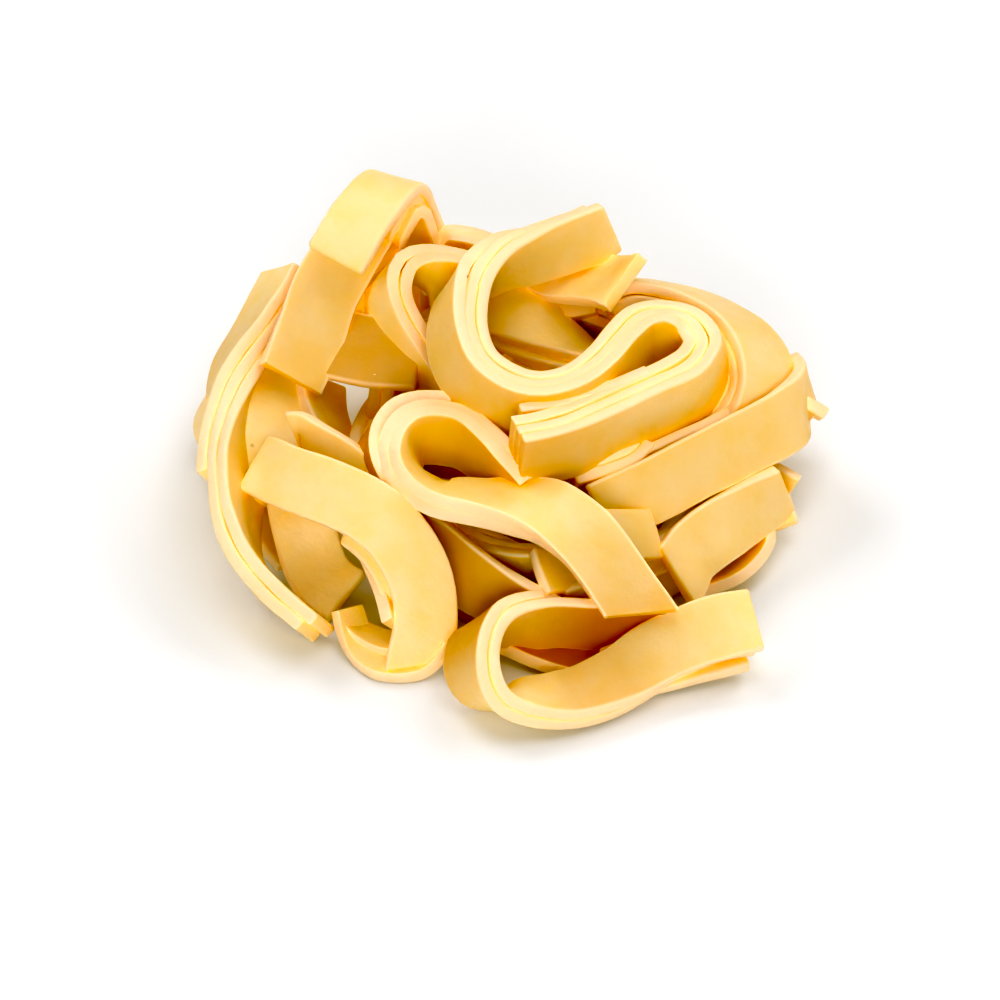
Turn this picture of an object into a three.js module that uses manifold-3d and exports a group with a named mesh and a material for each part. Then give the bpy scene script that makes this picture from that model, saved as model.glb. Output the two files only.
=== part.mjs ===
// A dry egg-pasta nest: flat ribbons wound in layered bundles, loops and folds, in millimetres, +Z up.
// It rests on z = 0 with the middle of its outline at x = y = 0.
import * as THREE from "three";
import { mergeVertices } from "three/addons/utils/BufferGeometryUtils.js";
import Module from "manifold-3d";

// Driving sizes.
const RIBBON_WIDTH = 6.5;
const RIBBON_THICKNESS = 1.25;
const LAYER_PITCH = 1.32;
const BOARD_ELEVATION = 42;
const BOARD_DISTANCE = 700;
const BOARD_CENTRE = new THREE.Vector3(0, 0, 10);
const BEND_PER_STEP = 26;
const LONGEST_STEP = 9;
const FINE_STEP = 0.5;
const END_TAPER = 6;
const SINK_LENGTH = 16;
const SHORTEST_EDGE = 0.1;
const HAIR = 0.002;
const CORE_CENTRE = new THREE.Vector3(3, 10, 5.5);
const CORE_RADII = new THREE.Vector3(11, 9, 6.5);

// Ribbons are planned on a drawing board that leans back from the front of the nest: across and
// up are read on the board, height is above the table. The board's own directions:
const lean = THREE.MathUtils.degToRad(BOARD_ELEVATION);
const across = new THREE.Vector3(1, 0, 0);
const up = new THREE.Vector3(0, Math.sin(lean), Math.cos(lean));
const away = new THREE.Vector3(0, Math.cos(lean), -Math.sin(lean));
const eye = BOARD_CENTRE.clone().addScaledVector(away, -BOARD_DISTANCE);

// Each route follows one edge of a ribbon. A station is [across, up, height, faceAcross, faceUp],
// and the last two say how far the other edge lies from it on the board: the rest of the ribbon's
// width goes away from the eye, or towards it where a sixth value of -1 says so. A layer is
// [pitches to the side, trimStart, trimEnd, edge step, sink at the start].
const ROUTES = {
  front_loop: {
    route: [
      [16.8, -10.9, 7, 0, -4.2], [14, -10.4, 7.4, 0, -4.4], [10, -10.2, 7.8, 0, -4.5],
      [4.5, -10.2, 8, -0.2, -4.5], [1.7, -11, 8, -0.8, -3.2], [0.1, -12.7, 8, -2.2, 0.2],
      [-0.6, -15.5, 7.6, -3, -0.8], [-0.3, -17.8, 6.6, -2.4, -0.2],
      [0.9, -19.9, 5.2, -1.3, 1.2], [3.2, -21.1, 4, -0.3, 2.8], [7, -21.7, 2.9, 0.2, 3.8],
      [10.5, -21.1, 2.4, 0.8, 4.2], [14, -19.7, 2.4, 1.4, 5], [18, -17.6, 2.9, 2, 5.8],
      [21.8, -16.2, 3.6, 1.6, 6.2], [26.4, -15, 4.2, 0.8, 6],
    ],
    layers: [[0, 0, 0, 0], [-1, 12, 0.5, 0.1]],
  },
  front_loop_foot: {
    route: [
      [12, -20.2, 0.9, 1.5, 5], [16.8, -19, 1, 1.8, 5.5], [20.5, -18, 1.3, 1.4, 5],
      [25, -16.8, 1.7, 0.8, 4.5],
    ],
  },
  left_loop: {
    route: [
      [-26, 1, 9, 1.2, 5.2], [-23.6, -0.2, 9.6, 1.4, 6], [-20.4, -1.6, 10.4, 1.4, 6.2],
      [-17.4, -2.7, 10.9, 2, 6.1], [-15, -3.9, 10.8, 3.4, 5.4],
      [-13.2, -5.4, 10, 4.8, 4.2], [-11.9, -7.2, 8.8, 6, 2.2],
      [-10.9, -9.7, 6.8, 6.4, 0.4], [-10.7, -12.5, 4.8, 6.4, 0],
      [-11.1, -14.8, 3, 6.4, 0.2], [-11.4, -16.3, 1.8, 6.4, 0.4],
      [-11.6, -17.2, 1.2, 6.4, 0.5],
    ],
    layers: [[0, 0, 0, 0], [-1, 13, 5, -0.9]],
    skew: [-1.3, -2.6],
  },
  left_loop_under: {
    route: [
      [-21.5, 8.7, 13.4, 1.4, -6.3], [-20, 8.7, 13.6, 1, -6.4],
      [-18, 7.7, 13.6, -0.4, -6.4], [-15, 5.9, 13.4, -2, -6.1],
      [-12, 3.3, 12.6, -3.4, -5.5], [-9.6, 0.3, 11, -4.8, -4.4],
      [-7.4, -3.5, 8.6, -6, -2.6], [-6, -7.2, 5.6, -6.2, -0.6],
    ],
    skew: [2.4, 0],
  },
  left_loop_under_back: {
    route: [
      [-20, 10, 13, 2.4, -6], [-18.2, 8.7, 13, 0.4, -6.4], [-15.5, 6.7, 12.8, -1.8, -6.2],
      [-12.4, 4, 12, -3.2, -5.6], [-9.8, 0.8, 10.4, -4.6, -4.6],
    ],
  },
  left_loop_start: {
    route: [
      [-21.9, 9.7, 12.4, -3, -5.6], [-19, 8, 12.2, -3.2, -5.6],
      [-15.5, 5.5, 11.6, -3.4, -5.4],
    ],
  },
  left_tongue: {
    route: [
      [-23.8, 3.2, 8.6, 6.6, -0.4], [-23.4, 0, 7.6, 6.6, 0], [-22.9, -3, 6, 6.6, 1],
      [-22, -6.3, 4, 6, 2], [-20.8, -9, 2.2, 5.2, 3.4], [-19.2, -11, 1, 4.6, 4.2],
      [-17.3, -12.2, 0.7, 4.4, 4.4],
    ],
  },
  left_loop_return_inner: {
    route: [
      [-16.3, -12.6, 2.6, 3, 2.4], [-14.6, -14.2, 1.9, 2.8, 3.4],
      [-12.6, -15.2, 1.8, 2, 4], [-10.6, -15.6, 1.8, 1.2, 4.2],
    ],
    width: 3,
  },
  left_tongue_behind: {
    route: [
      [-26, 0.4, 7, 4, 1], [-25.3, -2.2, 5, 4.4, 1.4], [-24.1, -4.7, 3.2, 4.6, 2],
      [-22.2, -7, 2, 4.4, 2.4],
    ],
  },
  flap_outer: {
    route: [
      [-19.3, 25.4, 23.4, 5.6, -2.9, -1], [-18, 27.4, 24.5, 5.6, -2.8, -1],
      [-16.7, 29.4, 25.2, 5.6, -2.6, -1], [-15.4, 31, 25.6, 5.6, -2.2, -1],
      [-14.3, 32.1, 25.6, 5.6, -1.9, -1], [-13.4, 32.6, 25, 5.6, -1.7, -1],
      [-12.8, 32.4, 24, 5.6, -1.7, -1], [-12.3, 31.5, 22.3, 5.6, -1.7, -1],
      [-11.4, 29.1, 18.4, 5.6, -1.7, -1], [-10.4, 26, 13.5, 5.6, -1.7, -1],
    ],
  },
  flap_inner: {
    route: [
      [-23.9, 13.7, 14.4, 5.5, -2.7], [-22.3, 17.8, 16.2, 5.8, -2.7],
      [-20.6, 22.2, 18.2, 6, -2.6], [-18.3, 26.4, 20.4, 6, -2.6],
      [-16.2, 29.7, 22.2, 6, -2.4, -1], [-15, 31.1, 23.4, 5.8, -2, -1],
      [-14.1, 31.8, 23.5, 5.7, -1.7, -1], [-13.5, 31.5, 22.6, 5.7, -1.7, -1],
      [-13, 30.1, 20.4, 5.7, -1.7, -1], [-12.1, 27.1, 16, 5.7, -1.7, -1],
    ],
    layers: [[0, 0, 0, 0], [1, 4, 0, 0.9]],
    width: 7,
  },
  left_bundle: {
    route: [
      [-18.2, 22.1, 15.8, -2.7, 0.8], [-19.4, 19.8, 14.8, -2.6, 0.8],
      [-21.6, 16.4, 13.4, -1.8, 0.6], [-24.3, 13, 13, -0.4, 0.2],
      [-26.5, 9.5, 12.6, 2.2, -0.4], [-27.8, 6, 12, 3.4, -1.4],
      [-27.9, 2, 11.2, 3.4, -1.6], [-27.4, -1, 10.2, 2.4, -1.2], [-26, -4.4, 9, 0.6, -0.6],
      [-24.4, -6.6, 8.3, 0, -0.4], [-22.4, -8.8, 7.4, 0, -0.2],
      [-20.5, -10.5, 6.7, 0, -0.2], [-18.7, -12.1, 6.1, 0, 0],
    ],
    layers: [[0, 0, 0, 0], [-1, 0, 0.8, 0.1], [-2, 0, 21, 0.2]],
  },
  left_bundle_bulge: {
    route: [
      [-26.2, 14.5, 10.6, -0.4, -0.6], [-27.4, 12.4, 10.2, -0.8, -0.2],
      [-28.5, 10, 9.8, -0.8, 0], [-28.8, 7, 9.2, -0.4, 0.2],
    ],
  },
  top_bundle: {
    route: [
      [10, 29.6, 24.6, 1.4, -4.4], [8, 28.9, 24.8, 0.8, -5.5],
      [5.6, 27.9, 24.8, 0.4, -5.4], [3.3, 26.7, 24.6, 0, -5], [1, 25.3, 24.2, -0.6, -4.4],
      [-0.7, 23.3, 23.4, -1.4, -4], [-1.6, 20.8, 22.4, -2.6, -3.2],
      [-1.6, 17, 21.2, -3, -2.6], [-0.3, 14.4, 20.6, -2.2, -4],
      [2.9, 12.7, 20, -0.8, -4.8], [6, 13, 19.8, 0.2, -5], [8.9, 14.8, 19.8, 0.8, -5],
      [11.1, 17.3, 19.8, 0.4, -5], [13.4, 19.3, 19.6, 0, -5], [16.4, 19.8, 19.4, 0, -5.2],
      [19.6, 18.9, 19, 0.6, -4.8], [21.4, 16.6, 18.6, 1.2, -4.2],
      [20.7, 14.2, 18.6, 0.6, -4.6], [19, 12.7, 18.6, 0, -4.8], [16, 11.3, 18.6, -0.4, -5],
      [12, 9.5, 18.6, -0.6, -5], [8, 7.8, 18.8, -0.6, -5.2], [5, 6.8, 19, -0.6, -5],
      [2.2, 6.2, 19.2, -0.4, -4.8],
    ],
    layers: [[0, 0, 0, 0], [-1, 0.6, 0, 0.1, 0.5], [-2, 1.2, 0, -0.1, 2.2]],
    skew: [-2.6, 0],
  },
  top_bundle_filler: {
    route: [
      [14.8, 13.1, 18.8, -0.2, -4], [12, 11.9, 18.8, -0.4, -4.4],
      [9, 10.9, 18.8, -0.4, -4.6], [5.5, 9.9, 19, -0.4, -4.6],
      [1.9, 9.4, 19.2, -0.4, -4.6],
    ],
  },
  top_curl: {
    route: [
      [-1.6, 23.2, 19.6, 0.3, -5], [-3.6, 23.9, 20.4, 0.1, -5.2],
      [-5.5, 24.3, 21, -0.1, -5.2], [-7.5, 24.2, 21, -0.6, -4.4],
      [-8.8, 23.5, 20.5, -1.6, -3.8], [-9.4, 21.5, 19.2, -2.4, -3.4],
      [-9, 19.6, 17.8, -3, -3], [-7.2, 16.3, 15.6, -2.2, -3.8],
      [-5.4, 13.7, 13.6, -1.2, -4.4], [-3.8, 11.2, 12, -0.6, -4.8],
    ],
    layers: [[0, 0, 0, 0], [-1.1, 0, 0, 0.1]],
  },
  back_arc: {
    route: [
      [0, 26, 19, 0, -4.5], [-3, 27, 19, 0, -4.5], [-5.4, 27.2, 18.6, -0.4, -4.5],
      [-7, 26.4, 18, -0.8, -4.5],
    ],
    layers: [[0, 0, 0, 0], [1, 0, 0, -0.1]],
  },
  right_bundle: {
    route: [
      [10.6, 20.2, 17.5, 0.2, 0.8], [13, 21.1, 18, 0.3, 0.6], [15.5, 20.9, 18, 0.5, 0.6],
      [18.4, 20, 18, 1, 1], [21, 18.5, 17.6, 2, 1.3], [22.7, 16.7, 17, 3.2, 1.8],
      [23.8, 14.2, 16, 4.8, 1], [24, 11.8, 15, 5.2, -1.4], [23.4, 9.8, 13.8, 4.2, -3],
      [22, 7.6, 12.4, 3, -3.4], [19.6, 5.5, 11, 2.2, -3.2], [17.6, 4, 10.2, 2, -3.2],
    ],
    layers: [[0, 0, 0, 0], [-1, 0, 2, -0.1], [-2, 0, 2, 0.1], [-3, 20, 2, 0]],
  },
  right_bundle_lower: {
    route: [
      [10, 19.4, 14.6, 0.2, 0.8], [13.5, 20, 15.4, 0.3, 0.6], [16.8, 20.1, 15.6, 0.5, 0.8],
      [20.6, 19.2, 15.6, 1.4, 0.8], [23.4, 18, 15, 2.2, 0], [25.6, 16.3, 14.2, 2.4, -1.8],
      [27, 14.4, 13, 2, -3.8],
    ],
  },
  right_band: {
    route: [
      [8.5, 1.4, 12.2, 3, -5.7], [15, 4.4, 13.2, 3, -5.7], [20.8, 7.4, 13.8, 3, -5.7],
      [24.8, 9.5, 14.2, 3, -5.7], [27.4, 11, 14.4, 2.6, -5.8],
      [29.3, 12.4, 14.5, 1.2, -5.4], [29.9, 13.6, 14.2, 0.8, -4.8],
      [29.1, 14.6, 13.2, 1.2, -4],
    ],
  },
  right_band_inner: {
    route: [
      [14, 4.9, 12.6, 1, -4], [20, 7.6, 13, 1, -4], [24.5, 10, 13.4, 1, -4],
    ],
  },
  right_tip_high: {
    route: [
      [28, 10.8, 11.8, 0, -0.6], [30.6, 9.7, 11, 0, -0.4], [32.6, 8.5, 10.1, 0, -0.2],
    ],
  },
  right_band_second: {
    route: [
      [27.6, 3.2, 9.6, 1.6, -4.4], [24.2, 1.6, 9.4, 2.2, -5.4], [20.2, -0.5, 9, 3.2, -5.6],
      [17.4, -2.6, 8.3, 4.2, -4.8], [15.7, -4.9, 7.4, 5.2, -3.8],
    ],
    layers: [[0, 0, 0, 0], [-1, 0, 2, 0.2]],
    skew: [-1.4, 2.8],
  },
  right_tip_mid: {
    route: [
      [25.2, 5, 8.2, -3, -5], [27.8, 3.5, 7.2, -3, -5], [30.1, 2.2, 6.4, -3, -5],
    ],
    skew: [0, -0.8],
  },
  right_tip_low: {
    route: [
      [27.6, 3.4, 6.2, -6, -2.2], [28.8, 0.6, 4.6, -6, -2.2], [29.8, -2.3, 3, -6, -2.2],
    ],
  },
  right_band_base: {
    route: [
      [27.2, -2.8, 3.7, -3.5, 0], [27.1, -4.2, 3.4, -3, 1], [26.2, -5.8, 3, -2.2, 1.8],
      [24.8, -7.3, 2.6, -1.4, 2.1], [22.8, -8.4, 2.3, -0.8, 2.2],
      [19.8, -9.4, 2, -0.4, 2.3],
    ],
    width: 3.5,
  },
  right_crescent: {
    route: [
      [7.5, 2.2, 12.4, 0.4, -2], [11, 3.2, 12.6, 0.6, -2.2], [13.6, 4.4, 12.8, 0.8, -2.2],
      [15, 6, 13, 0.8, -2.4],
    ],
    layers: [[0, 0, 0, 0], [1, 0, 0, 0]],
  },
  middle_ribbon: {
    route: [
      [2.4, 1.8, 14.2, 1, -4.2], [0.5, 4, 15.2, 0.6, -4.6], [-1.6, 6.4, 16, 0.2, -5],
      [-4.5, 8.6, 16.4, 0, -5.2], [-8, 8.8, 16.6, 0.6, -4.8], [-10, 7.2, 16.2, 2.6, -2.4],
      [-10.7, 4.5, 15.6, 3.2, -0.6], [-9.6, 2.2, 15, 2.4, 0.4],
      [-6.8, 0.2, 14.5, 1.8, 1.4], [-3, -0.8, 14, 1.2, 2.4], [0.5, -2, 13.4, 1.4, 4],
      [3.5, -3.6, 12.6, 2.2, 5.4], [6.2, -6, 11, 3.4, 5.4], [8.2, -8.5, 9.6, 4.6, 4.4],
      [9.4, -10.3, 8.5, 5.6, 3.2], [10.4, -11.8, 7.6, 6.5, 0.6],
    ],
    layers: [[0, 0, 0, 0], [-1, 0, 2, 0.15]],
    skew: [0, 3.4],
  },
  middle_ribbon_outer: {
    route: [
      [-5.4, 10.9, 16, 0, -4], [-9.8, 10.5, 16, 0, -4], [-12.2, 8.8, 15.6, -0.4, -3],
      [-13.4, 6, 15, -0.4, -2],
    ],
  },
  middle_stub: {
    route: [
      [9.9, -1.1, 12.2, 4.2, 1.4], [10.7, -3.5, 11, 4.6, 0.8], [11.4, -6.2, 9.4, 4.6, 0],
    ],
  },
  middle_stub_low: {
    route: [
      [3, -5, 9, 5.4, -0.4], [3.8, -7.7, 8.2, 5.4, -0.6], [4.6, -9.6, 7.4, 5.4, -0.6],
    ],
  },
  shaded_shelf: {
    route: [
      [-18.2, 12.3, 11.6, 0.2, 6], [-14, 11.4, 11.8, 0.2, 6], [-8.6, 10.9, 12, 0.2, 6],
    ],
    width: 7.6,
  },
  shaded_post: {
    route: [
      [-15, 11.4, 9, 3, 0], [-14.8, 8.5, 8, 3, 0.4], [-13.8, 5.4, 7, 3, 0.6],
    ],
  },
  well_twist: {
    route: [
      [2.6, 21, 14.4, 0, 5.4], [4.8, 20.1, 15, 0.6, 4.6], [7.2, 19.9, 15.8, 0.8, 3.8],
      [9, 19.6, 16.6, 0.8, 3.8], [10.7, 19, 17.4, 1.8, 5.4],
    ],
  },
  well_broad: {
    route: [
      [-2.2, 16.8, 13, 1.4, 6.2], [0.5, 16, 13.2, 2.4, 5.4], [3.5, 15.1, 13.6, 3, 3.2],
      [6.2, 14.4, 14, 2, 1.8], [9.2, 13.7, 14.2, 0.8, 0.8],
    ],
    layers: [[0, 0, 0, 0], [-1, 0, 0, -0.9], [-2, 0, 0, -1.4]],
  },
  lap_front: {
    route: [
      [-7.2, -1.2, 10, -1, -6], [-5, -2.5, 9.6, -1.6, -6], [-1, -5.8, 8.8, -2.4, -5.8],
      [2.5, -8.2, 8, -2.6, -5.8], [6, -10.2, 7, -2.6, -5.6],
    ],
  },
  eye_wall: {
    route: [
      [-4.3, 8, 12.6, -3, -3], [-2.3, 6.8, 12.2, -3.4, -4], [-0.5, 4.8, 11.6, -4, -4.4],
      [1.2, 1.6, 10.8, -4.4, -4.4],
    ],
  },
  lap_back: {
    route: [
      [-5.5, -2.2, 7.4, 2, -6], [-1, -3.2, 7.2, 2.2, -6], [4, -6, 6.8, 2.2, -6],
    ],
  },
  left_loop_return: {
    route: [
      [-16.7, -11.2, 3.8, 5, 1.2], [-15.9, -14.2, 1.7, 5, 2.4],
      [-14.7, -16.2, 0.9, 4.2, 4], [-12.8, -17.5, 0.8, 2.6, 4.3],
      [-10.5, -17.9, 0.7, 1, 4.3], [-8, -17.6, 0.8, -0.8, 4],
      [-6.2, -16.3, 1.7, -2.4, 3.4], [-5.1, -14.5, 3, -3.4, 2.6],
    ],
    width: 3.2,
  },
  left_loop_inner_tip: {
    route: [
      [-13.8, -5.2, 8.4, 2.6, -1], [-12.6, -8, 7, 2.6, 0], [-11.9, -10.2, 6.2, 2.4, 0.6],
      [-11.4, -12.1, 5.6, 2.2, 1],
    ],
    width: 3.4,
  },
  eye_lid: {
    route: [
      [-4.8, 10.8, 15.4, -1, -2], [-2.2, 9.4, 15.2, -1.6, -2.8], [0, 7, 14.8, -1.8, -3],
      [2, 3, 14, -2, -3.6],
    ],
  },
  well_lip: {
    route: [
      [4.5, 19.6, 13.8, 0.4, -1.2], [6.8, 19, 14.2, 0.2, -1.2], [9.4, 19.4, 14.8, 0, -1.2],
    ],
  },
  lap_right: {
    route: [
      [4, -6, 7.8, 0.6, -5], [8, -8, 7.2, 1, -5], [14, -9, 6.6, 1.2, -5],
    ],
  },
  front_loop_floor: {
    route: [
      [0, -15.2, 1.4, 2, 3.8], [3, -16.8, 1.3, 1.4, 4.2], [6.2, -18, 1.2, 1, 4.3],
      [10, -18.6, 1.2, 1, 4.3],
    ],
  },
  front_loop_inside: {
    route: [
      [2.8, -14.6, 3, 1.6, 4], [6, -16, 2.6, 1.2, 4.2], [10, -16.7, 2.4, 1, 4.3],
    ],
  },
  lap_base: {
    route: [
      [-6, -6.2, 6.8, 1, -5], [-2, -8.2, 6.6, 0, -5], [2, -9.8, 6.6, -0.6, -5],
    ],
  },
  shaded_wall: {
    route: [
      [-23.2, 15.5, 11.8, 6, -2.4], [-25, 12, 11, 6.2, -1.8], [-26.2, 8, 10.2, 6.2, -1],
      [-26.6, 4, 9.2, 6, -0.6], [-26.2, 0.2, 8.2, 5.2, -0.4],
    ],
  },
  shaded_step: {
    route: [
      [-20.2, 12.8, 11.4, 4.2, -0.8], [-19.8, 10, 10.2, 3.8, -0.4], [-18.6, 6.8, 9, 3, 0],
    ],
  },
  eye_floor: {
    route: [
      [-8.2, 5.2, 12.4, 1, -5], [-5, 4, 11.8, 1.2, -5], [-0.8, 2.8, 11, 1, -5],
    ],
  },
  shaded_back: {
    route: [
      [-20.4, 17.8, 9, 0.4, 6], [-15, 17, 9.2, 0.4, 6], [-8, 16.4, 9.4, 0.4, 6],
    ],
  },
  right_band_curl: {
    route: [
      [19.2, -5.3, 5.4, 2, -3], [16.4, -6.6, 5, 2.4, -3], [14, -7.8, 4.8, 2.4, -3],
    ],
    width: 4.5,
  },
};

// Rings that hold the nest up from inside, standing on edge: centre, radii, angles, upper edge.
const RINGS = [
  { at: [3, 9], radii: [18, 19], angles: [-80, 215], top: 7.1, wave: [0.03, 0.4], layers: [0, 1] },
  { at: [3, 11], radii: [16.5, 17.5], angles: [20, 200], top: 13, wave: [0.04, 1.4], layers: [0, 1] },
  { at: [3, 12], radii: [19, 19], angles: [30, 125], top: 13.8, wave: [0.03, 2.2], layers: [0] },
  { at: [3, 6], radii: [12, 11], angles: [-200, 60], top: 8, wave: [0.06, 0.2], layers: [0, 1] },
  { at: [3, 12], radii: [8, 8], angles: [-100, 200], top: 11.5, wave: [0.08, 2.9], layers: [0] },
];
const RING_LEAN = 0.12;
const RING_ANGLE_STEP = 28;

const wasm = await Module();
wasm.setup();

// The point at a height, on the line from the eye through a place on the board.
function onBoard(a, u, height) {
  const place = BOARD_CENTRE.clone().addScaledVector(across, a).addScaledVector(up, u);
  const reach = (eye.z - height) / (eye.z - place.z);
  return eye.clone().lerp(place, reach);
}

// The vector from a route to the ribbon's other edge.
function widthOf(faceAcross, faceUp, side = 1) {
  const seen = Math.min(1, RIBBON_WIDTH / Math.max(Math.hypot(faceAcross, faceUp), 1e-6));
  const a = faceAcross * seen;
  const u = faceUp * seen;
  const depth = Math.sqrt(Math.max(RIBBON_WIDTH ** 2 - a * a - u * u, 0));
  const width = new THREE.Vector3().addScaledVector(across, a);
  return width.addScaledVector(up, u).addScaledVector(away, depth * side);
}

// Frames along a ribbon: place, direction, width direction and face direction, set closer
// together where it bends or twists.
function framesAlong(points, widths) {
  const path = new THREE.CatmullRomCurve3(points, false, "centripetal");
  const side = new THREE.CatmullRomCurve3(widths, false, "centripetal");
  path.arcLengthDivisions = 120 * points.length;
  const length = path.getLength();
  const count = Math.max(4, Math.round(length / FINE_STEP));
  const fine = [];
  for (let i = 0; i <= count; i++) {
    const u = i / count;
    const t = path.getUtoTmapping(u);
    const along = path.getTangent(t).normalize();
    const across = side.getPoint(t);
    across.addScaledVector(along, -across.dot(along)).normalize();
    const face = along.clone().cross(across);
    fine.push({ place: path.getPoint(t), along, across, face, at: u * length });
  }
  return { fine, length };
}

// The frames worth keeping: one wherever enough bend, twist or length has built up.
function thinned(fine) {
  const kept = [fine[0]];
  let bend = 0;
  for (let i = 1; i < fine.length - 1; i++) {
    bend += fine[i].along.angleTo(fine[i - 1].along) + fine[i].across.angleTo(fine[i - 1].across);
    const run = fine[i].at - kept[kept.length - 1].at;
    const left = fine[fine.length - 1].at - fine[i].at;
    if ((THREE.MathUtils.radToDeg(bend) > BEND_PER_STEP || run > LONGEST_STEP) && left > 1) {
      kept.push(fine[i]);
      bend = 0;
    }
  }
  kept.push(fine[fine.length - 1]);
  return kept;
}

// The kept frames between two lengths, with the fine frames nearest to both ends added.
function between(kept, fine, from, to) {
  const inside = kept.filter((f) => f.at > from + 0.6 && f.at < to - 0.6);
  const nearest = (at) => fine.reduce((a, b) => (Math.abs(b.at - at) < Math.abs(a.at - at) ? b : a));
  return [nearest(from), ...inside, nearest(to)];
}

// A ribbon as a closed body with four corners in each section.
function ribbonSolid(frames, shift, step, sink, wide, skew) {
  const corners = [];
  const faces = [];
  const first = frames[0].at;
  const last = frames[frames.length - 1].at;
  for (const f of frames) {
    const near = f.place.clone().addScaledVector(f.face, shift);
    near.addScaledVector(f.across, step + sink * Math.max(0, 1 - (f.at / SINK_LENGTH) ** 2));
    const start = Math.max(0, 1 - (f.at - first) / END_TAPER);
    const end = Math.max(0, 1 - (last - f.at) / END_TAPER);
    const far = near.clone().addScaledVector(f.across, wide);
    far.addScaledVector(f.along, skew[0] * start + skew[1] * end);
    const half = RIBBON_THICKNESS / 2;
    corners.push(near.clone().addScaledVector(f.face, -half));
    corners.push(far.clone().addScaledVector(f.face, -half));
    corners.push(far.clone().addScaledVector(f.face, half));
    corners.push(near.clone().addScaledVector(f.face, half));
  }
  for (let i = 0; i < frames.length - 1; i++) {
    for (let k = 0; k < 4; k++) {
      const a = 4 * i + k;
      const b = 4 * i + ((k + 1) % 4);
      faces.push(a, b, b + 4, a, b + 4, a + 4);
    }
  }
  const o = 4 * (frames.length - 1);
  faces.push(0, 3, 2, 0, 2, 1, o, o + 1, o + 2, o, o + 2, o + 3);
  const geometry = new THREE.BufferGeometry().setFromPoints(corners);
  geometry.setIndex(faces);
  return solidOf(geometry);
}

// A three.js geometry as a closed body that joins can be made with.
function solidOf(geometry) {
  const bare = geometry.clone();
  bare.deleteAttribute("normal");
  bare.deleteAttribute("uv");
  const merged = mergeVertices(bare, 1e-4);
  const solid = new wasm.Manifold(
    new wasm.Mesh({
      numProp: 3,
      vertProperties: new Float32Array(merged.attributes.position.array),
      triVerts: new Uint32Array(merged.index.array),
    }),
  );
  if (solid.volume() > 0) return solid;
  const turned = new Uint32Array(merged.index.array);
  for (let i = 0; i < turned.length; i += 3) {
    [turned[i + 1], turned[i + 2]] = [turned[i + 2], turned[i + 1]];
  }
  return new wasm.Manifold(
    new wasm.Mesh({
      numProp: 3,
      vertProperties: new Float32Array(merged.attributes.position.array),
      triVerts: turned,
    }),
  );
}

// All ribbons of one route, side by side.
function routeSolids(plan) {
  const points = plan.route.map((s) => onBoard(s[0], s[1], s[2]));
  const widths = plan.route.map((s) => widthOf(s[3], s[4], s[5]));
  const { fine, length } = framesAlong(points, widths);
  const skew = plan.skew ?? [0, 0];
  const wide = plan.width ?? RIBBON_WIDTH;
  const kept = thinned(fine);
  return (plan.layers ?? [[0, 0, 0, 0]]).map(([pitches, trimStart, trimEnd, step, sink = 0]) => {
    const frames = between(kept, fine, trimStart, length - trimEnd);
    return ribbonSolid(frames, pitches * LAYER_PITCH, step, sink, wide, skew);
  });
}

// One supporting ring: an open wavy arc of ribbon, its upper edge at the given height.
function ringSolids(ring) {
  const steps = Math.round((ring.angles[1] - ring.angles[0]) / RING_ANGLE_STEP);
  const points = [];
  const widths = [];
  for (let i = 0; i <= steps; i++) {
    const turn = ring.angles[0] + ((ring.angles[1] - ring.angles[0]) * i) / steps;
    const a = THREE.MathUtils.degToRad(turn);
    const wave = 1 + ring.wave[0] * Math.sin(3 * a + ring.wave[1]);
    const out = new THREE.Vector3(Math.cos(a), Math.sin(a), 0);
    const x = ring.at[0] + ring.radii[0] * wave * out.x;
    const y = ring.at[1] + ring.radii[1] * wave * out.y;
    points.push(new THREE.Vector3(x, y, ring.top));
    const width = out.multiplyScalar(Math.sin(RING_LEAN));
    width.z = -Math.cos(RING_LEAN);
    widths.push(width.multiplyScalar(RIBBON_WIDTH));
  }
  const { fine } = framesAlong(points, widths);
  const kept = thinned(fine);
  return ring.layers.map((n) => ribbonSolid(kept, n * LAYER_PITCH, 0.15 * n, 0, RIBBON_WIDTH, [0, 0]));
}

// The low core under the rings that ties the loose ribbons together.
function coreSolid() {
  const core = new THREE.SphereGeometry(1, 14, 9);
  core.scale(CORE_RADII.x, CORE_RADII.y, CORE_RADII.z);
  core.translate(CORE_CENTRE.x, CORE_CENTRE.y, CORE_CENTRE.z);
  return solidOf(core);
}

// Everything joined, then cut flat at the table.
const solids = [coreSolid(), ...RINGS.flatMap(ringSolids)];
for (const plan of Object.values(ROUTES)) solids.push(...routeSolids(plan));
let nest = solids[0];
for (const solid of solids.slice(1)) nest = nest.add(solid);
const below = new THREE.BoxGeometry(120, 120, 20);
below.translate(0, 0, -10);
nest = nest.subtract(solidOf(below));

// The faces of a joined body as corner numbers, and its corners as vectors.
function meshOf(solid) {
  const mesh = solid.getMesh();
  const points = [];
  for (let i = 0; i < mesh.numVert; i++) {
    const [x, y, z] = mesh.vertProperties.subarray(i * mesh.numProp, i * mesh.numProp + 3);
    points.push(new THREE.Vector3(x, y, z));
  }
  const faces = [];
  for (let i = 0; i < mesh.triVerts.length; i += 3) {
    faces.push([...mesh.triVerts.subarray(i, i + 3)]);
  }
  return { points, faces };
}

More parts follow.
